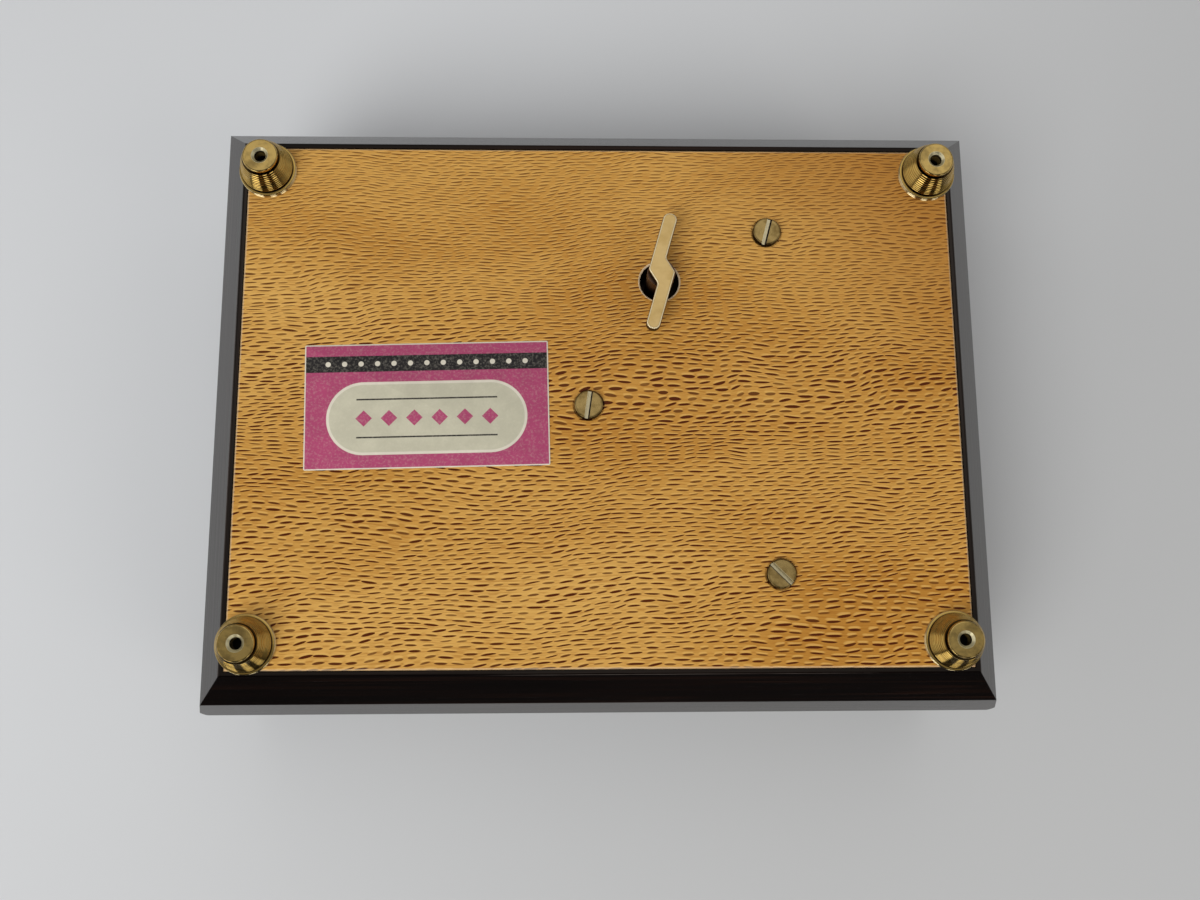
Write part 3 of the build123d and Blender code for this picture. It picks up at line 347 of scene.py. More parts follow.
@dataclass(frozen=True)
class FleckedBeech(Finish):
    """Quarter-sawn beech under satin varnish, with rows of short dark flecks that flow in slow waves, and
    painted light and shade.
    """

    key_place: Pair
    key_hole: float
    low: Pair
    high: Pair
    pale: Colour = linear(225, 178, 98)
    golden: Colour = linear(184, 127, 47)
    amber: Colour = linear(158, 100, 32)
    fleck: Colour = linear(80, 30, 0)
    # painted shade on the wall of the key hole's bore
    bore_shade: Colour = linear(26, 16, 10)
    raw: Colour = linear(232, 205, 168)
    fleck_pitch: float = 3.3 * MM
    row_pitch: float = 0.90 * MM
    growth: float = 4.5
    slow_wave: float = 12.0 * MM
    quick_wave: float = 3.2 * MM
    sway: float = 6.0 * MM
    band: float = -2.5 * MM
    band_reach: Pair = (4.0 * MM, 18.0 * MM)
    # reach of the painted light that makes the left side paler
    left_light_reach: float = 75.0 * MM
    front_reach: float = 55.0 * MM
    # reach of the painted shade that darkens the front right corner
    corner_shade_reach: Pair = (55.0 * MM, 118.0 * MM)
    worn: float = 0.35 * MM
    roughness: float = 0.42

    def flow(self, graph: Graph) -> Tuple[Value, Value]:
        """Coordinates that follow the grain; the rows grow wider towards the back.

        Args:
            graph: Graph of the material.

        Returns:
            The coordinates along and across the bent grain, in cells.
        """
        slow = graph.noise((11, 26, 1), 1.0)
        quick = graph.noise((46, 70, 1), 2.0)
        bent = quick * self.quick_wave + (slow * self.slow_wave + graph.y)
        wide = bent * self.growth + 1.0
        across = graph.math("LOGARITHM", wide, math.e) / (self.growth * self.row_pitch)
        along = (quick * self.sway + graph.x) / self.fleck_pitch
        return along, across

    def flecks(self, graph: Graph, along: Value, across: Value, heavy: Value) -> Tuple[Value, Value, Value]:
        """One pointed fleck in each cell of staggered rows, with a painted highlight beside it.

        Args:
            graph: Graph of the material.
            along: Coordinate along the grain, in cells.
            across: Coordinate across the grain, in rows.
            heavy: Factor on the thickness of the flecks.

        Returns:
            The mask of the flecks, the mask of the painted highlight beside each one, and a random tone for
            each.
        """
        row = graph.math("FLOOR", across)
        start = graph.call("TexWhiteNoise", {"W": row}, "Value", noise_dimensions="1D")
        shifted = start * 0.6 + (row * 0.5 + along)
        cell = graph.combine(graph.math("FLOOR", shifted), row)
        dice = graph.call("TexWhiteNoise", {"Vector": cell}, "Color", noise_dimensions="2D")
        aside, size, tone = dice.split()
        u = graph.math("FRACT", shifted) - (aside * 0.20 + 0.40)
        v = graph.math("FRACT", across) - (size * 0.20 + 0.40)
        v = u * (aside * 0.7 - 0.1) + v
        u = u / (tone * 0.20 + 0.32)
        taper = graph.math("POWER", abs(u), 3.0)
        body = abs(v) / ((size * 0.09 + 0.145) * heavy)
        # painted highlight: a pale line just beside each fleck
        beside = abs(v + 0.34) / 0.3
        return (taper + body).ramp(1.06, 0.80), (taper + beside).ramp(1.3, 0.2), tone

    def hole(self, graph: Graph) -> Tuple[Value, Value]:
        """Return the mask of the key hole's bore and the mask of its bevelled edge."""
        beyond = graph.distance(graph.x - self.key_place[0], graph.y - self.key_place[1]) - self.key_hole
        return beyond.ramp(0.08 * MM, 0.0), beyond.ramp(0.42 * MM, 0.3 * MM)

    def border(self, graph: Graph) -> Value:
        """Where the varnish is worn through along the sawn edges.

        Args:
            graph: Graph of the material.

        Returns:
            The mask of the worn line.
        """
        sides = zip((graph.x, graph.y), self.low, self.high)
        beside, across = (value.depth_in(low, high) for value, low, high in sides)
        return beside.least(across).ramp(self.worn + 0.1 * MM, self.worn - 0.1 * MM, 0.0, 0.45)

    def paint(self, graph: Graph) -> None:
        """Lay the finish on.

        Args:
            graph: Graph of the material.
        """
        along, across = self.flow(graph)
        heavy = abs(graph.y - self.band).ramp(*self.band_reach, 1.25, 1.0)
        mask, fleck_highlight, tone = self.flecks(graph, along, across, heavy)
        depth = tone.ramp(0.0, 0.6, 0.7, 1.0) * graph.y.ramp(-self.front_reach, 0.0, 0.72, 1.0)
        fibre = graph.noise((0.45, 3.4, 1), 4.0, 0.68, at=graph.combine(along, across))
        cloud = graph.noise((9, 26, 1), 3.0, 0.55, location=(2.3, 0.4, 0))
        # painted light: the pale share grows towards the left side
        sides = graph.x.ramp(-self.left_light_reach, self.left_light_reach, 0.24, 0.08)
        bore, edge = self.hole(graph)
        colour = graph.layers(
            self.golden,
            # random pale clouds, plus the painted light that pales the left side
            (cloud.ramp(0.32, 0.72, 0.0, 0.55) + sides, self.pale),
            (cloud.ramp(0.50, 0.30, 0.0, 0.35), self.amber),
            (fibre.ramp(0.44, 0.66, 0.0, 0.6), self.amber),
            # painted highlight beside each fleck
            (fleck_highlight * 0.60, self.pale),
            # painted shade: amber darkens towards the front right corner
            ((graph.x - graph.y).ramp(*self.corner_shade_reach, 0.0, 0.65), self.amber),
            (mask * depth, self.fleck),
            (self.border(graph), self.raw),
            (edge, self.raw),
            # painted shade in the key hole's bore
            (bore, self.bore_shade),
        )
        graph.surface(Base_Color=colour, Roughness=self.roughness, Specular_IOR_Level=0.16,
                      Normal=graph.bump(fibre * 0.35 - mask, 0.015 * MM, 0.5))


@dataclass(frozen=True)
class GlossLacquer(Finish):
    """Near-black figured wood under deep gloss lacquer, with its pores filled at the ends of the board."""

    grain: Grain
    ground: Colour = linear(6, 4, 4)
    streak: Colour = linear(32, 17, 11)
    sheen: Colour = linear(255, 234, 216)
    roughness: float = 0.09
    gloss: float = 0.39
    end_start: float = 74.0 * MM
    end_full: float = 76.0 * MM

    def paint(self, graph: Graph) -> None:
        """Lay the finish on.

        Args:
            graph: Graph of the material.
        """
        lines = graph.noise(self.grain.stretch(18, 1500), 4.0, 0.6, 0.6)
        bands = graph.noise(self.grain.stretch(5, 70), 2.0, 0.5, 1.2)
        figure = lines.ramp(0.42, 0.74) * bands.ramp(0.36, 0.66, 0.12, 1.0)
        dust = graph.noise(1500, 1.0).ramp(0.66, 0.74)
        end = abs((graph.x, graph.y)[self.grain.value])
        pores = lines * end.ramp(self.end_start, self.end_full, 1.0, 0.0)
        ripple = graph.bump(graph.noise(120, 2.0), 0.02 * MM, 0.35)
        graph.surface(Base_Color=graph.layers(self.ground, (figure, self.streak)),
                      Roughness=dust * 0.12 + self.roughness, Specular_IOR_Level=self.gloss,
                      Specular_Tint=self.sheen, Normal=graph.bump(pores, 0.05 * MM, 0.7, ripple))


@dataclass(frozen=True)
class Metal(Finish):
    """A bare or plated metal with tool marks, slight tarnish and, where given, a round spot of painted shade
    about a bore.
    """

    colour: Colour
    tarnish: Colour
    roughness: float
    turning: Turning = Turning.POLISHED
    shade_place: Optional[Pair] = None
    shade_reach: float = 5.4 * MM
    shade_colour: Colour = (0.012, 0.008, 0.006)

    def paint(self, graph: Graph) -> None:
        """Lay the finish on.

        Args:
            graph: Graph of the material.
        """
        marks = graph.noise(self.turning.value, 3.0, 0.6)
        stain = graph.noise(160, 4.0, 0.6)
        colour = graph.layers(self.colour, (stain.ramp(0.46, 0.74, 0.0, 0.7), self.tarnish))
        # painted shade: a dark round spot about the given place
        if self.shade_place is not None:
            reach = graph.distance(graph.x - self.shade_place[0], graph.y - self.shade_place[1])
            colour = graph.layers(colour, (reach.ramp(self.shade_reach, self.shade_reach * 0.8), self.shade_colour))
        rough = stain.ramp(0.5, 0.75) * 0.08 + (marks * 0.14 + (self.roughness - 0.07))
        graph.surface(Base_Color=colour, Metallic=1.0, Roughness=rough,
                      Normal=graph.bump(marks, 0.02 * MM, 0.5))


@dataclass(frozen=True)
class KeyBrass(Finish):
    """Satin brass of the winding key: a brushed face, a painted highlight on the rounded edge and painted
    shade on the flanks.
    """

    face: float
    rounding: float
    colour: Colour = linear(238, 204, 138)
    tarnish: Colour = linear(216, 180, 112)
    # colour of the painted highlight on the rounded edge
    worn: Colour = linear(252, 236, 196)
    # colour of the painted shade on the flanks
    flank_shade: Colour = linear(44, 26, 12)
    edge_share: Span = (0.02, 0.08, 0.28, 0.42)
    flank_share: Pair = (0.32, 0.50)

    def paint(self, graph: Graph) -> None:
        """Lay the finish on.

        Args:
            graph: Graph of the material.
        """
        depth = graph.z - self.face
        brushed = graph.noise((420, 1900, 420), 3.0, 0.6, turn=(0, 0, 0.5))
        stain = graph.noise(160, 4.0, 0.6)
        edge = depth.between(*(self.rounding * share for share in self.edge_share))
        # the flanks, painted dark as shade
        flank_shade = depth.ramp(*(self.rounding * share for share in self.flank_share))
        colour = graph.layers(
            self.colour,
            (stain.ramp(0.44, 0.72, 0.0, 0.8), self.tarnish),
            # painted highlight on the rounded edge
            (edge * 0.85, self.worn),
            (flank_shade, self.flank_shade),
        )
        graph.surface(Base_Color=colour, Metallic=edge * -0.6 + 1.0, Roughness=brushed * 0.14 + 0.29,
                      Normal=graph.bump(brushed, 0.02 * MM, 0.5))


@dataclass(frozen=True)
class FootBrass(Finish):
    """Turned brass of the feet: ringed bell, fine lathe lines on the tip, painted highlights round the hole
    and on the base rim, painted shade in the hole and the grooves.

    Heights are measured from the tip, on which the foot stands.
    """

    corner: Pair
    middle_y: float
    hole: float = 1.2 * MM
    ring_pitch: float = 0.52 * MM
    ring_depth: float = 0.19 * MM
    tip_top: Pair = (0.7 * MM, 0.6 * MM)
    bell_foot: Pair = (0.9 * MM, 1.3 * MM)
    bell_rings: Pair = (2.5 * MM, 6.0 * MM)
    waist: Span = (0.80 * MM, 0.90 * MM, 1.26 * MM, 1.36 * MM)
    neck: Span = (6.15 * MM, 6.35 * MM, 6.80 * MM, 6.92 * MM)
    base_rim: Pair = (6.95 * MM, 7.10 * MM)
    colour: Colour = linear(208, 176, 104)
    tarnish: Colour = linear(132, 110, 66)
    bell: Colour = linear(190, 154, 76)
    # colour of the painted shade in the rings and grooves
    groove_shade: Colour = linear(40, 26, 10)
    # colour of the painted highlights round the hole and on the base rim
    bright: Colour = linear(244, 232, 190)
    # colour of the painted shade in the hole
    black: Colour = (0.004, 0.003, 0.002)

    def paint(self, graph: Graph) -> None:
        """Lay the finish on.

        Args:
            graph: Graph of the material.
        """
        z = graph.z
        reach = graph.distance(abs(graph.x) - self.corner[0], abs(graph.y - self.middle_y) - self.corner[1])
        on_bell = z.ramp(*self.bell_foot)
        uneven = graph.noise((1, 1, 900), 2.0, 0.7, at=graph.combine(0.0, 0.0, z))
        turn = graph.math("FRACT", uneven * 0.25 + z / self.ring_pitch)
        rise = turn * (turn * -0.75 + 1.75)
        step = rise.least((1.0 - turn) * 8.0)
        rings = step * (on_bell * z.ramp(*self.bell_rings, 1.0, 1.7))
        lathe = graph.noise((5200, 1, 1), 3.0, 0.6, at=graph.combine(reach, 0.0))
        stain = graph.noise((260, 260, 420), 4.0, 0.65)
        grooves = z.between(*self.waist).most(z.between(*self.neck))
        beyond = reach - self.hole
        # painted highlight: a bright ring round the hole on the tip
        edge = beyond.ramp(0.62 * MM, 0.45 * MM) * z.ramp(*self.tip_top)
        # painted shade: the hole is painted black
        bore = beyond.ramp(0.05 * MM, -0.02 * MM)
        colour = graph.layers(
            self.colour,
            (stain.ramp(0.40, 0.68, 0.0, 0.75), self.tarnish),
            # painted shade in the low part of each ring
            (step.ramp(0.25, 0.0) * on_bell * 0.85, self.groove_shade),
            (on_bell * 0.55, self.bell),
            # painted shade in the waist and neck grooves
            (grooves * 0.9, self.groove_shade),
            # painted highlights on the base rim and round the hole
            (z.ramp(*self.base_rim, 0.0, 0.6), self.bright),
            (edge, self.bright),
            # painted shade in the hole
            (bore, self.black),
        )
        rough = edge * 0.22 + (stain * 0.05 + (on_bell * -0.13 + 0.15))
        graph.surface(Base_Color=colour, Metallic=1.0 - bore, Roughness=rough,
                      Normal=graph.bump(rings + lathe * 0.012, self.ring_depth))


@dataclass(frozen=True)
class ScrewBrass(Finish):
    """Brass of the large slotted screws: faint rings, painted shade on the sides of the head, and a painted
    highlight and painted shadow line in the slot.
    """

    places: Tuple[Point, ...]
    head: float = 3.0 * MM
    slot_half: float = 0.5 * MM
    colour: Colour = linear(184, 156, 98)
    tarnish: Colour = linear(128, 104, 58)
    # colour of the painted highlight in the slot
    slot_highlight: Colour = linear(252, 238, 196)
    # colour of the painted shadow line in the slot and of the painted shade on the head's sides
    dark: Colour = linear(34, 16, 8)

    def paint(self, graph: Graph) -> None:
        """Lay the finish on.

        Args:
            graph: Graph of the material.
        """
        reach: Feed = 1.0
        slot_highlight: Feed = 0.0
        shadow: Feed = 0.0
        for screw_x, screw_y, turn in self.places:
            aside, ahead = graph.x - screw_x, graph.y - screw_y
            own = graph.distance(aside, ahead)
            off = aside * -math.sin(turn) + ahead * math.cos(turn)
            near = own.ramp(self.head + 0.3 * MM, self.head + 0.2 * MM)
            slot = abs(off).ramp(self.slot_half + 0.06 * MM, self.slot_half - 0.02 * MM)
            line = off.ramp(self.slot_half - 0.34 * MM, self.slot_half - 0.22 * MM)
            reach = own.least(reach)
            # painted highlight on the floor of the slot
            slot_highlight = (slot * near).most(slot_highlight)
            shadow = (slot * line * near).most(shadow)
        rings = graph.noise((7000, 1, 1), 3.0, 0.65, at=graph.combine(reach, 0.0))
        stain = graph.noise(420, 4.0, 0.6)
        colour = graph.layers(
            self.colour,
            (stain.ramp(0.42, 0.68, 0.0, 0.8), self.tarnish),
            (rings.ramp(0.42, 0.66, 0.0, 0.35), self.tarnish),
            # painted highlight in the slot
            (slot_highlight, self.slot_highlight),
            (shadow, self.dark),
            # painted shade on the sides of the head
            (reach.ramp(self.head - 0.16 * MM, self.head - 0.06 * MM), self.dark),
        )
        graph.surface(Base_Color=colour, Metallic=1.0, Roughness=slot_highlight * 0.2 + (stain * 0.16 + 0.20),
                      Normal=graph.bump(rings, 0.02 * MM, 0.9))


@dataclass(frozen=True)
class PaneGlass(Finish):
    """Clear glass that lets lamps through to what lies behind it."""

    tint: Colour = (0.93, 0.97, 0.96)

    def paint(self, graph: Graph) -> None:
        """Lay the finish on; lamps shine straight through."""
        shader = graph.surface(Base_Color=self.tint, Roughness=0.0, IOR=1.45, Transmission_Weight=1.0)
        graph.clear_where(graph.call("LightPath", {}, "Is Shadow Ray"), shader, self.tint)


@dataclass(frozen=True)
class NappedCloth(Finish):
    """Velvet with a brushed nap."""

    deep: Colour = linear(92, 10, 22)
    bright: Colour = linear(150, 24, 40)
    sheen: Colour = linear(235, 120, 130)

    def paint(self, graph: Graph) -> None:
        """Lay the finish on.

        Args:
            graph: Graph of the material.
        """
        nap = graph.noise(3600, 3.0, 0.7)
        brushed = graph.noise((60, 90, 60), 3.0, 0.55, 0.8)
        colour = graph.layers(self.deep, (brushed.ramp(0.36, 0.66), self.bright),
                              (nap.ramp(0.4, 0.7, 0.0, 0.5), self.deep))
        graph.surface(Base_Color=colour, Roughness=0.92, Sheen_Weight=0.7, Sheen_Roughness=0.35,
                      Sheen_Tint=self.sheen, Normal=graph.bump(nap, 0.15 * MM, 0.6))


@dataclass(frozen=True)
class SatinCloth(Finish):
    """Satin with fine floats one way and a soft gloss."""

    deep: Colour = linear(112, 14, 28)
    bright: Colour = linear(168, 34, 50)
    sheen: Colour = linear(240, 150, 150)
    thread: float = 0.22 * MM
    float_length: int = 5

    def paint(self, graph: Graph) -> None:
        """Lay the finish on.

        Args:
            graph: Graph of the material.
        """
        floats = graph.math("SINE", graph.y * (math.tau / self.thread))
        weft = graph.math("SINE", graph.x * (math.tau / (self.thread * self.float_length)))
        slub = graph.noise((90, 2200, 90), 3.0, 0.6)
        height = (weft * 0.25 + floats) * 0.3 + slub
        graph.surface(Base_Color=graph.layers(self.deep, (slub.ramp(0.32, 0.7), self.bright)), Roughness=0.38,
                      Sheen_Weight=0.35, Sheen_Roughness=0.3, Sheen_Tint=self.sheen, Anisotropic=0.5,
                      Normal=graph.bump(height, 0.04 * MM, 0.5))


@dataclass(frozen=True)
class StainedWood(Finish):
    """Plain inner wood with a thin stain."""

    pale: Colour = linear(150, 105, 62)
    dark: Colour = linear(92, 56, 30)

    def paint(self, graph: Graph) -> None:
        """Lay the finish on.

        Args:
            graph: Graph of the material.
        """
        fibre = graph.noise((700, 40, 700), 4.0, 0.6, 0.4)
        graph.surface(Base_Color=graph.layers(self.pale, (fibre.ramp(0.34, 0.7), self.dark)), Roughness=0.55,
                      Normal=graph.bump(fibre, 0.06 * MM, 0.5))


@dataclass(frozen=True)
class PrintedPaper(Finish):
    """Printed paper: a plum ground, a pale long field with a row of lozenges, and a black band of dots."""

    centre: Pair
    turn: float
    width: float
    height: float
    margin: float = 0.25 * MM
    soft: float = 0.06 * MM
    band_offset: float = 4.2 * MM
    band_half: float = 1.7 * MM
    dot_pitch: float = 1.7 * MM
    dot_radius: float = 0.55 * MM
    dot_margin: float = 2.4 * MM
    field_offset: float = 2.6 * MM
    field_half: float = 13.0 * MM
    field_radius: float = 7.4 * MM
    rim_half: float = 0.28 * MM
    lozenge_pitch: float = 2.6 * MM
    lozenge_half: float = 1.7 * MM
    lozenge_end: float = 15.2 * MM
    rule_offset: float = 4.0 * MM
    rule_half: float = 0.16 * MM
    rule_end: float = 14.5 * MM
    plum: Colour = linear(172, 70, 108)
    field_tone: Colour = linear(196, 191, 168)
    line: Colour = linear(222, 214, 196)
    black: Colour = linear(33, 30, 31)
    grime: Colour = (0.02, 0.015, 0.01)

    def inside(self, distance: Value) -> Value:
        """Return the mask of a shape from the distance to its edge."""
        return distance.ramp(self.soft, -self.soft)

    def paint(self, graph: Graph) -> None:
        """Lay the finish on.

        Args:
            graph: Graph of the material.
        """
        moved = graph.mapped(graph.place, location=(-self.centre[0], -self.centre[1], 0))
        u, v, _ = graph.mapped(moved, turn=(0, 0, -self.turn)).split()
        far_u = abs(u)
        band_v = v - (self.band_offset - self.height / 2)
        field_v = v - self.field_offset
        edge = graph.distance((far_u - self.field_half).most(0.0), field_v) - self.field_radius
        step = graph.math("PINGPONG", u + self.lozenge_pitch, self.lozenge_pitch)
        lozenges = (step + abs(field_v) - self.lozenge_half).most(far_u - self.lozenge_end)
        rules = (abs(abs(field_v) - self.rule_offset) - self.rule_half).most(far_u - self.rule_end)
        dot = graph.distance(graph.math("PINGPONG", u, self.dot_pitch), band_v) - self.dot_radius
        dots = dot.most(far_u - (self.width / 2 - self.dot_margin))
        border = (far_u - (self.width / 2 - self.margin)).most(abs(v) - (self.height / 2 - self.margin))
        fibre = graph.noise(2200, 3.0, 0.65)
        mottle = graph.noise(240, 4.0, 0.6)
        colour = graph.layers(
            self.plum,
            (self.inside(edge), self.field_tone),
            (self.inside(abs(edge) - self.rim_half), self.line),
            (self.inside(lozenges), self.plum),
            (self.inside(rules), self.black),
            (self.inside(abs(band_v) - self.band_half), self.black),
            (self.inside(dots), self.line),
            (self.inside(border * -1.0), self.line),
            (fibre.ramp(0.44, 0.72, 0.0, 0.16), self.line),
            (mottle.ramp(0.35, 0.7, 0.10, 0.0), self.grime),
        )
        graph.surface(Base_Color=colour, Roughness=0.62, Specular_IOR_Level=0.35,
                      Normal=graph.bump(fibre, 0.03 * MM, 0.5))


@dataclass(frozen=True)
class SheetPaint(Finish):
    """Matt paint of a stage sheet that shows from one side and is clear from the other.

    The far colour takes over towards the far right corner; on the table it is darker, a painted shade.
    """

    colour: Colour
    far_colour: Colour
    spread: float = 0.20
    slant: float = 0.9
    grey: Colour = (0.5, 0.5, 0.5)

    def paint(self, graph: Graph) -> None:
        """Lay the finish on.

        Args:
            graph: Graph of the material.
        """
        # painted shade on the table: the darker far colour spreads towards the far right corner
        corner = (graph.y * self.slant + graph.x).ramp(-self.spread, self.spread)
        cloud = graph.noise(6, 2.0)
        colour = graph.layers(self.colour, (corner, self.far_colour),
                              (cloud.ramp(0.3, 0.7, 0.0, 0.05), self.grey))
        shader = graph.surface(Base_Color=colour, Roughness=0.7, Specular_IOR_Level=0.2)
        graph.clear_where(graph.call("NewGeometry", {}, "Backfacing"), shader)


class Bench:
    """The modelling bench: operators on one object at a time, with a clean selection."""

    @staticmethod
    def clear() -> None:
        """Leave edit mode and deselect everything."""
        if bpy.context.object is not None and bpy.context.object.mode != "OBJECT":
            Bench.done()
        bpy.ops.object.select_all(action="DESELECT")

    @staticmethod
    def block(name: str, low: Point, high: Point) -> Piece:
        """Add a block at its size and place.

        Args:
            name: Name of the object.
            low: Lowest corner, in metres.
            high: Highest corner, in metres.

        Returns:
            The object, unturned and unscaled at the origin.
        """
        Bench.clear()
        middle = [(a + b) / 2 for a, b in zip(low, high)]
        bpy.ops.mesh.primitive_cube_add(size=1.0, location=middle)
        piece = bpy.context.object
        piece.scale = [b - a for a, b in zip(low, high)]
        Bench.settle(piece, name)
        return piece

    @staticmethod
    def settle(piece: Piece, name: str) -> None:
        """Put the object's place into its mesh and name both.

        Args:
            piece: The object.
            name: The name.
        """
        Bench.pick(piece)
        bpy.ops.object.transform_apply(location=True, rotation=True, scale=True)
        piece.name = piece.data.name = name

    @staticmethod
    def pick(piece: Piece) -> None:
        """Make one object the only one selected and active.

        Args:
            piece: The object.
        """
        Bench.clear()
        piece.select_set(True)
        bpy.context.view_layer.objects.active = piece

    @staticmethod
    def edit(piece: Piece, faces: Iterable[int] = (), edges: Iterable[int] = ()) -> None:
        """Enter edit mode with some faces or edges selected.

        Args:
            piece: The object.
            faces: Indices of the faces.
            edges: Indices of the edges.
        """
        Bench.pick(piece)
        bpy.ops.object.mode_set(mode="EDIT")
        bpy.ops.mesh.select_mode(type="FACE" if faces else "EDGE")
        bpy.ops.mesh.select_all(action="DESELECT")
        Bench.done()
        for index in faces:
            piece.data.polygons[index].select = True
        for index in edges:
            piece.data.edges[index].select = True
        bpy.ops.object.mode_set(mode="EDIT")

    @staticmethod
    def done() -> None:
        """Leave edit mode."""
        bpy.ops.object.mode_set(mode="OBJECT")

    @staticmethod
    def soften(piece: Piece, width: float, segments: int = 3, angle: float = 40.0) -> None:
        """Round the sharp edges and shade the piece smooth.

        Args:
            piece: The object.
            width: Width of the rounding, in metres.
            segments: Faces across it.
            angle: Least angle of a sharp edge, in degrees.
        """
        Bench.pick(piece)
        bevel = piece.modifiers.new("soften", "BEVEL")
        bevel.width = width
        bevel.segments = segments
        bevel.limit_method = "ANGLE"
        bevel.angle_limit = math.radians(angle)
        bpy.ops.object.modifier_apply(modifier=bevel.name)
        bpy.ops.object.shade_smooth_by_angle(angle=math.radians(angle))


def middle_of(name: str) -> Vector:
    """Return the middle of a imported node's box, in metres."""
    low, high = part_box(name)
    return (low + high) / 2


def dress(material: Material, *names: str) -> None:
    """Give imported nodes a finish.

    Args:
        material: The finish.
        *names: Names of the nodes.
    """
    for name in names:
        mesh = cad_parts[name].data
        mesh.materials.clear()
        mesh.materials.append(material)
        LOG.info("dressed %s in %s", name, material.name)


def finish_piece(piece: Piece, material: Material, body: str) -> None:
    """Give a new piece its finish and its body.

    Args:
        piece: The piece.
        material: Its finish.
        body: The body that it rides on.
    """
    piece.data.materials.clear()
    piece.data.materials.append(material)
    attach(piece, body)
    LOG.info("made %s on %s with %d faces", piece.name, body, len(piece.data.polygons))


@dataclass
class Case:
    """Walls, bottom panel, inner boards and glass."""

    long_walls: Tuple[str, ...] = ("back_wall", "lid_panel")
    short_walls: Tuple[str, ...] = ("left_wall", "right_wall")
    key_hole: float = 4.12 * MM
    front_gloss: float = 0.17

    def dress(self) -> None:
        """Give each board its wood.

        The lacquer of the front is duller, and the beech is laid round the key hole.
        """
        dress(GlossLacquer("lacquer_front", Grain.ALONG_X, gloss=self.front_gloss).make(), "front_wall")
        dress(GlossLacquer("lacquer_long", Grain.ALONG_X).make(), *self.long_walls)
        dress(GlossLacquer("lacquer_short", Grain.ALONG_Y).make(), *self.short_walls)
        panel_low, panel_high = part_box("bottom_panel")
        key_place = tuple(middle_of("key_hub").xy)
        beech = FleckedBeech("flecked_beech", key_place, self.key_hole, tuple(panel_low.xy),
                             tuple(panel_high.xy))
        dress(beech.make(), "bottom_panel")
        dress(StainedWood("stained_wood").make(), "partition", "pane_ledges")
        dress(PaneGlass("pane_glass").make(), "glass_pane")


@dataclass
class Sticker:
    """Printed paper sticker on the underside of the bottom panel."""

    middle: Pair = (-36.0 * MM, 1.05 * MM)
    size: Pair = (50.4 * MM, 26.4 * MM)
    turn: float = math.radians(-1.3)
    thickness: float = 0.12 * MM
    corner: float = 0.35 * MM
    corner_faces: int = 4
    rounding: float = 0.03 * MM
    rounding_faces: int = 2
    sharp_angle: float = 60.0

    def build(self) -> Piece:
        """Model the paper with cut corners, lying flat on the wood.

        Returns:
            The sticker.
        """
        panel_low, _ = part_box("bottom_panel")
        half_u, half_v = self.size[0] / 2, self.size[1] / 2
        piece = Bench.block("sticker", (-half_u, -half_v, -self.thickness), (half_u, half_v, 0.0))
        levels = [vertex.co.z for vertex in piece.data.vertices]
        upright = [edge.index for edge in piece.data.edges
                   if abs(levels[edge.vertices[0]] - levels[edge.vertices[1]]) > self.thickness / 2]
        Bench.edit(piece, edges=upright)
        bpy.ops.mesh.bevel(offset=self.corner, segments=self.corner_faces, affect="EDGES")
        Bench.done()
        place = Matrix.Translation((*self.middle, panel_low.z)) @ Matrix.Rotation(self.turn, 4, "Z")
        piece.data.transform(place)
        Bench.soften(piece, self.rounding, self.rounding_faces, self.sharp_angle)
        return piece

    def dress(self, piece: Piece) -> None:
        """Print the sticker."""
        paper = PrintedPaper("printed_paper", self.middle, self.turn, *self.size)
        finish_piece(piece, paper.make(), "case")


@dataclass
class Feet:
    """Turned brass feet and the steel pins in them."""

    names: Tuple[str, ...] = ("foot_front_left", "foot_front_right", "foot_back_left", "foot_back_right")

    def dress(self) -> None:
        """Give the feet their turned brass.

        One finish serves all four, because they stand evenly round the middle of the box.
        """
        corner = middle_of("foot_back_right")
        middle_y = (corner.y + middle_of("foot_front_right").y) / 2
        dress(FootBrass("foot_brass", (corner.x, corner.y - middle_y), middle_y).make(), *self.names)
        # painted shade: the pins in the holes of the feet are painted near black
        dress(Metal("pin_steel", linear(20, 18, 17), linear(12, 10, 9), 0.5).make(), "foot_pins")


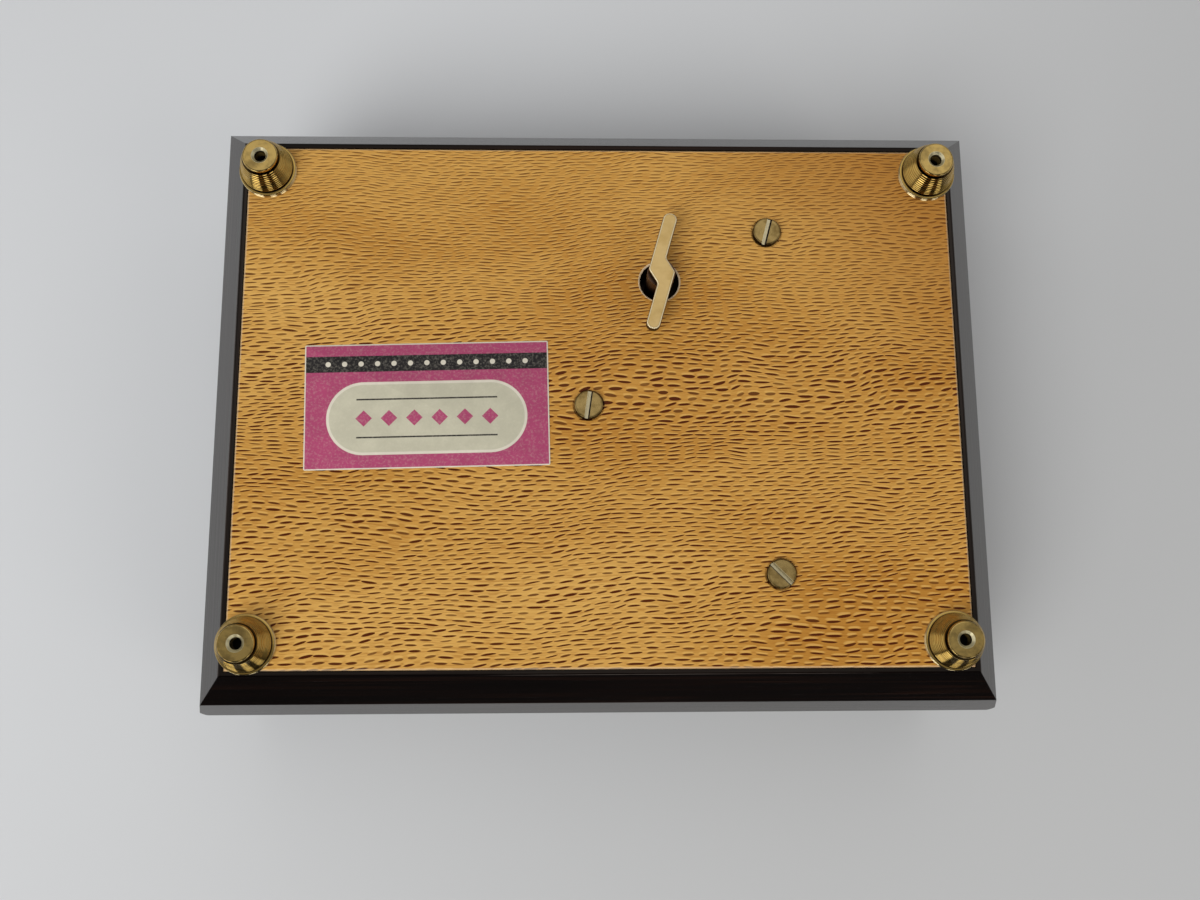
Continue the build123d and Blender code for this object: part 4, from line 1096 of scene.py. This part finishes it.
@dataclass
class Lid:
    """Lid board, its quilted satin lining and the hinges."""

    quilt_pitch: float = 21.0 * MM
    seam_depth: float = 1.5 * MM
    seam_sharpness: float = 0.45
    edge_drop: float = 2.6 * MM
    edge_reach: float = 7.0 * MM
    cuts: int = 96
    flat: float = 1e-6
    sharp_angle: float = 60.0

    def height(self, x: float, y: float, half_width: float, half_depth: float) -> float:
        """How far the cloth stands back from the crown of the pad.

        Args:
            x: Place along the lid, in metres.
            y: Place across the lid, in metres.
            half_width: Half of the pad's width.
            half_depth: Half of the pad's depth.

        Returns:
            The distance, in metres.
        """
        first = math.sin(math.pi * (x + y) / self.quilt_pitch)
        second = math.sin(math.pi * (x - y) / self.quilt_pitch)
        puff = min(abs(first), abs(second)) ** self.seam_sharpness
        rim = min(half_width - abs(x), half_depth - abs(y)) / self.edge_reach
        roll = 1.0 - math.sqrt(max(0.0, 1.0 - (1.0 - min(1.0, rim)) ** 2))
        return self.seam_depth * (1.0 - puff) * min(1.0, max(0.0, rim * 2)) + self.edge_drop * roll

    def build(self) -> Piece:
        """Model the padded lining in the recess of the lid.

        Returns:
            The lining.
        """
        low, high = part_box("lid_lining")
        piece = Bench.block("quilted_lining", tuple(low), tuple(high))
        face = min(piece.data.polygons, key=lambda polygon: polygon.center.z)
        Bench.edit(piece, faces=[face.index])
        bpy.ops.mesh.subdivide(number_cuts=self.cuts)
        Bench.done()
        middle = (low + high) / 2
        half = (high - low) / 2
        for vertex in piece.data.vertices:
            if vertex.co.z < low.z + self.flat:
                x, y = vertex.co.x - middle.x, vertex.co.y - middle.y
                vertex.co.z += self.height(x, y, half.x, half.y)
        Bench.pick(piece)
        bpy.ops.object.shade_smooth_by_angle(angle=math.radians(self.sharp_angle))
        return piece

    def dress(self, piece: Piece) -> None:
        """Cover the lining in satin and give the hinges their brass.

        Args:
            piece: The lining.
        """
        finish_piece(piece, SatinCloth("satin").make(), "lid")
        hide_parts("lid_lining")
        hinge = Metal("hinge_brass", linear(196, 160, 86), linear(150, 118, 60), 0.24, Turning.DRAWN)
        dress(hinge.make(), "hinge_case_leaves", "hinge_lid_leaves", "hinge_pins", "hinge_case_screws",
              "hinge_lid_screws")


@dataclass
class StorageTray:
    """Velvet tray beside the movement."""

    wall: float = 1.2 * MM
    rounding: float = 0.5 * MM

    def build(self) -> Piece:
        """Model the tray with soft rims and corners.

        Returns:
            The tray.
        """
        low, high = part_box("storage_lining")
        piece = Bench.block("velvet_tray", tuple(low), tuple(high))
        face = max(piece.data.polygons, key=lambda polygon: polygon.center.z)
        Bench.edit(piece, faces=[face.index])
        bpy.ops.mesh.inset(thickness=self.wall, depth=0.0)
        depth = high.z - low.z - self.wall
        bpy.ops.mesh.extrude_region_move(TRANSFORM_OT_translate={"value": (0, 0, -depth)})
        Bench.done()
        Bench.soften(piece, self.rounding)
        return piece

    def dress(self, piece: Piece) -> None:
        """Cover the tray in velvet."""
        finish_piece(piece, NappedCloth("velvet").make(), "case")
        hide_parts("storage_lining")


@dataclass
class Movement:
    """Winding work, spring barrel, pinned cylinder, comb and governor."""

    key_rounding: float = 0.45 * MM
    pin_height: float = 0.55 * MM
    pin_radius: float = 0.16 * MM
    pin_sides: int = 6
    pin_taper: float = 0.6
    pin_rounding: float = 0.3
    rounding_faces: int = 2
    pin_sink: float = 0.7 * MM
    pin_margin: float = 0.6 * MM
    tracks: int = 36
    pins_per_track: int = 9
    seed: int = 11
    screw_places: Tuple[Point, ...] = ((35.6 * MM, -36.5 * MM, -75.0), (-2.6 * MM, 1.4 * MM, -82.0),
                                       (36.3 * MM, 36.5 * MM, 45.0))

    def screws(self) -> Iterable[Point]:
        """Find the large screws under the panel.

        Yields:
            The place and the slot's turn of each.
        """
        middle_y = middle_of("bottom_panel").y
        for x, y, turn in self.screw_places:
            yield x, y + middle_y, math.radians(turn)

    def build(self) -> Piece:
        """Model the fine pins of the tune, one cone set round the drum in each place.

        Returns:
            All pins as one piece.
        """
        low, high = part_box("cylinder")
        middle = (low + high) / 2
        radius = (high.x - low.x) / 2 - self.pin_sink
        step = (high.y - low.y - 2 * self.pin_margin) / self.tracks
        chance = random.Random(self.seed)
        Bench.clear()
        bpy.ops.mesh.primitive_cone_add(vertices=self.pin_sides, radius1=self.pin_radius,
                                        radius2=self.pin_radius * self.pin_taper,
                                        depth=self.pin_height * 2, location=(0, 0, 0))
        template = bpy.context.object
        Bench.soften(template, self.pin_radius * self.pin_rounding, self.rounding_faces)
        copies = []
        for track in range(self.tracks):
            for _ in range(self.pins_per_track):
                turn = chance.random() * math.tau
                y = low.y + self.pin_margin + (track + 0.5) * step
                place = (Matrix.Translation((middle.x, y, middle.z))
                         @ Matrix.Rotation(turn, 4, "Y") @ Matrix.Translation((0, 0, radius)))
                copy = bpy.data.objects.new("pin", template.data.copy())
                bpy.context.scene.collection.objects.link(copy)
                copy.data.transform(place)
                copies.append(copy)
        bpy.data.objects.remove(template)
        Bench.pick(copies[0])
        for copy in copies:
            copy.select_set(True)
        bpy.ops.object.join()
        piece = bpy.context.object
        piece.name = piece.data.name = "tune_pins"
        return piece

    def dress(self, piece: Piece) -> None:
        """Give each piece of the movement its metal.

        Args:
            piece: The pins of the tune.
        """
        steel = Metal("bright_steel", linear(176, 177, 180), linear(140, 138, 136), 0.2).make()
        dress(steel, "winding_arbor", "ratchet_wheel", "click", "bridge_posts", "cylinder_arbor",
              "governor_arbor", "worm_arbor", "stop_rod", "stop_guide")
        finish_piece(piece, steel, "cylinder")
        # place of the spot of painted shade on the plate, under the key hole
        bore = tuple(middle_of("key_hub").xy)
        finishes = (
            (KeyBrass("key_brass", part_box("key_lever")[0].z, self.key_rounding), ("key_lever",)),
            (ScrewBrass("screw_brass", tuple(self.screws())), ("movement_screws",)),
            (Metal("wheel_brass", linear(214, 176, 96), linear(170, 132, 66), 0.18),
             ("cylinder", "cylinder_pinion", "cylinder_wheel", "barrel_cover", "worm_wheel", "fan")),
            (Metal("plate_brass", linear(200, 166, 96), linear(168, 134, 72), 0.3, Turning.DRAWN, bore),
             ("bedplate", "barrel_bridge")),
            # painted shade: the hub's steel is painted dark brown, deep in the key hole
            (Metal("hub_steel", linear(104, 80, 64), linear(58, 44, 36), 0.34), ("key_hub",)),
            (Metal("comb_steel", linear(168, 170, 176), linear(128, 128, 132), 0.24, Turning.DRAWN),
             ("comb",)),
            (Metal("blued_steel", linear(62, 66, 92), linear(46, 44, 60), 0.22),
             ("click_screw", "click_spring", "mainspring", "bridge_screws", "bearing_screws", "comb_screws",
              "governor_screws")),
            (Metal("nickel", linear(190, 186, 176), linear(150, 144, 132), 0.26),
             ("barrel", "cylinder_bearing_front", "cylinder_bearing_back", "comb_base", "governor_frame")),
        )
        for finish, names in finishes:
            dress(finish.make(), *names)


@dataclass
class Lamp:
    """One soft area lamp."""

    name: str
    place: Point
    size: float
    power: float
    colour: Colour
    mirrored: bool = True
    target: Point = (0.0, 0.0, 0.03)

    def build(self) -> None:
        """Hang the lamp so that it points at the middle of the box.

        A lamp that is not mirrored lights the pieces and leaves no gleam of itself on them.
        """
        data = bpy.data.lights.new(self.name, "AREA")
        data.shape = "DISK"
        data.size = self.size
        data.energy = self.power
        data.color = self.colour
        lamp = bpy.data.objects.new(self.name, data)
        bpy.context.scene.collection.objects.link(lamp)
        lamp.location = self.place
        lamp.visible_glossy = self.mirrored
        aim = Vector(self.target) - Vector(self.place)
        lamp.rotation_euler = aim.to_track_quat("-Z", "Y").to_euler()


@dataclass(frozen=True)
class Glow:
    """A soft patch of the surrounding air, brighter or darker than the rest.

    Start and full are cosines of the angle to its middle, level is what it adds.
    """

    toward: Point
    start: float
    full: float
    level: float

    def build(self, graph: Graph) -> Value:
        """Make the patch.

        Args:
            graph: Graph of the world.

        Returns:
            What the patch adds in each direction.
        """
        toward = Vector(self.toward).normalized()
        cosine = graph.call("VectorMath", {0: graph.place, 1: toward}, "Value", operation="DOT_PRODUCT")
        return cosine.ramp(self.start, self.full, 0.0, self.level)


@dataclass
class Stage:
    """One-sided sheets, soft lamps, the air around and the camera.

    The photograph looks at the underside of the box as it lies on its lid, so a pale table lies against the
    lid and shows only from below. A pale floor lies under the feet and shows only from above. A dark apron
    beyond the table shows only in mirrors, and a dark shade under the panel keeps its bounced light off the
    floor.
    """

    reach: float = 3.0
    # the table's far colour is darker: painted shade towards its far right corner
    table_colours: Tuple[Colour, Colour] = (linear(219, 220, 222), linear(195, 195, 195))
    floor_colours: Tuple[Colour, Colour] = (linear(214, 214, 213),) * 2
    dark_colours: Tuple[Colour, Colour] = (linear(14, 13, 12),) * 2
    table_gap: float = 0.1 * MM
    floor_gap: float = 0.05 * MM
    apron_start: float = 0.14
    shade_gap: float = 0.6 * MM
    window_half: float = 0.075
    window_share: Point = (0.98, 0.72, 1.0)
    backdrop: float = 0.47
    camera_place: Point = (-7.320 * MM, 56.559 * MM, -233.990 * MM)
    camera_right: Point = (0.99959, 0.00611, -0.02784)
    camera_up: Point = (0.00080, -0.98240, -0.18679)
    camera_back: Point = (-0.02849, 0.18669, -0.98201)
    lens: float = 35.88
    sensor_width: float = 36.0
    clip: Pair = (0.01, 50.0)
    lamps: Tuple[Lamp, ...] = field(default_factory=lambda: (
        Lamp("under_key", (-0.42, 0.60, -1.00), 0.75, 10.2, (0.99, 1.0, 1.0), False),
        Lamp("under_fill", (0.80, 0.62, -0.90), 0.6, 2.0, (1.0, 0.97, 0.93), False),
        Lamp("over_key", (-0.55, -0.6, 1.35), 0.8, 11.0, (1.0, 0.985, 0.96)),
        Lamp("over_fill", (0.7, 0.4, 1.3), 0.9, 5.4, (0.96, 0.98, 1.0)),
    ))
    glows: Tuple[Glow, ...] = (
        Glow((0, 0, 1), -0.25, 0.5, 0.52),
        Glow((0, 0, -1), -1.0, -0.9, 0.25),
        Glow((0.06, -0.45, -0.89), 0.84, 0.985, 0.68),
        Glow((-0.92, 0.10, -0.38), 0.84, 0.95, 0.7),
        Glow((0.94, -0.10, -0.32), 0.87, 0.95, 0.35),
        Glow((0, 0, -1), 0.80, 0.97, 0.10),
        Glow((0, 1, -0.10), 0.45, 0.75, -0.235),
        Glow((-0.58, 0.80, -0.13), 0.962, 0.980, 3.4),
        Glow((0.10, 0.97, -0.22), 0.984, 0.992, 2.6),
        Glow((0.60, 0.78, -0.20), 0.984, 0.992, 2.2),
    )

    def sheet(self, name: str, level: float, side: Side, colours: Sequence[Colour], *hidden: str) -> Piece:
        """Lay one stage sheet.

        Args:
            name: Name of the sheet.
            level: Its height, in metres.
            side: The side from which it shows.
            colours: Its colour, and that of its far right corner.
            *hidden: Kinds of ray that pass it by.

        Returns:
            The sheet.
        """
        Bench.clear()
        bpy.ops.mesh.primitive_plane_add(size=2 * self.reach, location=(0, 0, level))
        piece = bpy.context.object
        Bench.settle(piece, name)
        if side is Side.BELOW:
            Bench.edit(piece, faces=[0])
            bpy.ops.mesh.flip_normals()
            Bench.done()
        piece.data.materials.append(SheetPaint(name + "_paint", *colours).make())
        for ray in ("shadow", *hidden):
            setattr(piece, "visible_" + ray, False)
        return piece

    def cut_window(self, table: Piece) -> None:
        """Cut the table away over the lid, which lies against it.

        Args:
            table: The table.
        """
        Bench.edit(table, faces=[0])
        bpy.ops.mesh.inset(thickness=self.reach - self.window_half, depth=0.0)
        Bench.done()
        window = min(table.data.polygons, key=lambda polygon: polygon.area)
        Bench.edit(table, faces=[window.index])
        bpy.ops.transform.resize(value=self.window_share)
        bpy.ops.mesh.delete(type="FACE")
        Bench.done()

    def build_sheets(self) -> None:
        """Lay the table, the apron, the shade and the floor.

        None of them throws a shadow.
        """
        low, high = CAD_BOX
        table = self.sheet("table", high.z + self.table_gap, Side.BELOW, self.table_colours, "diffuse")
        self.cut_window(table)
        apron = self.sheet("apron", high.z, Side.BELOW, self.dark_colours,
                           "camera", "diffuse", "transmission")
        apron.data.transform(Matrix.Translation((0, self.reach + self.apron_start, 0)))
        panel_low, panel_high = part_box("bottom_panel")
        shade = self.sheet("shade", panel_low.z - self.shade_gap, Side.BELOW, self.dark_colours,
                           "camera", "glossy", "transmission")
        share = (panel_high - panel_low) / (2 * self.reach)
        shade.data.transform(Matrix.Diagonal((share.x, share.y, 1.0, 1.0)))
        self.sheet("floor", low.z - self.floor_gap, Side.ABOVE, self.floor_colours,
                   "diffuse", "glossy", "transmission")

    def build_world(self) -> None:
        """Give the air a pale upper half, a dimmer lower half, glows on some sides and a dark patch.

        Seen straight, it is an even backdrop.
        """
        world = bpy.data.worlds.new("studio")
        bpy.context.scene.world = world
        graph = Graph(world, "World", "Generated")
        patches = [glow.build(graph) for glow in self.glows]
        level = sum(patches[1:], patches[0])
        straight = graph.call("LightPath", {}, "Is Camera Ray")
        graph.show(graph.call("Background", {"Strength": level + (self.backdrop - level) * straight}))

    def build_camera(self) -> None:
        """Set the camera as the photograph has it.

        Its place and axes come from a fit to the panel, the rim, the bevels and the feet.
        """
        data = bpy.data.cameras.new("camera")
        data.sensor_fit = "HORIZONTAL"
        data.sensor_width = self.sensor_width
        data.lens = self.lens
        data.clip_start, data.clip_end = self.clip
        camera = bpy.data.objects.new("camera", data)
        bpy.context.scene.collection.objects.link(camera)
        turn = Matrix((self.camera_right, self.camera_up, self.camera_back)).transposed().to_4x4()
        camera.matrix_world = Matrix.Translation(self.camera_place) @ turn
        bpy.context.scene.camera = camera

    def build(self) -> None:
        """Lay the sheets, hang the lamps and set the camera.

        Colours are shown as they are, without a film curve.
        """
        self.build_sheets()
        for lamp in self.lamps:
            lamp.build()
        self.build_world()
        self.build_camera()
        bpy.context.scene.view_settings.view_transform = "Standard"
        LOG.info("stage is set")


def main() -> None:
    """Build each sub-assembly in order.

    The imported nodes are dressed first, then the new pieces are made, and the stage comes last.
    """
    logging.basicConfig(level=logging.INFO, format="%(name)s: %(message)s")
    Case().dress()
    Feet().dress()
    for assembly in (Sticker(), Lid(), StorageTray(), Movement()):
        assembly.dress(assembly.build())
    Stage().build()


if __name__ == "__main__":
    main()
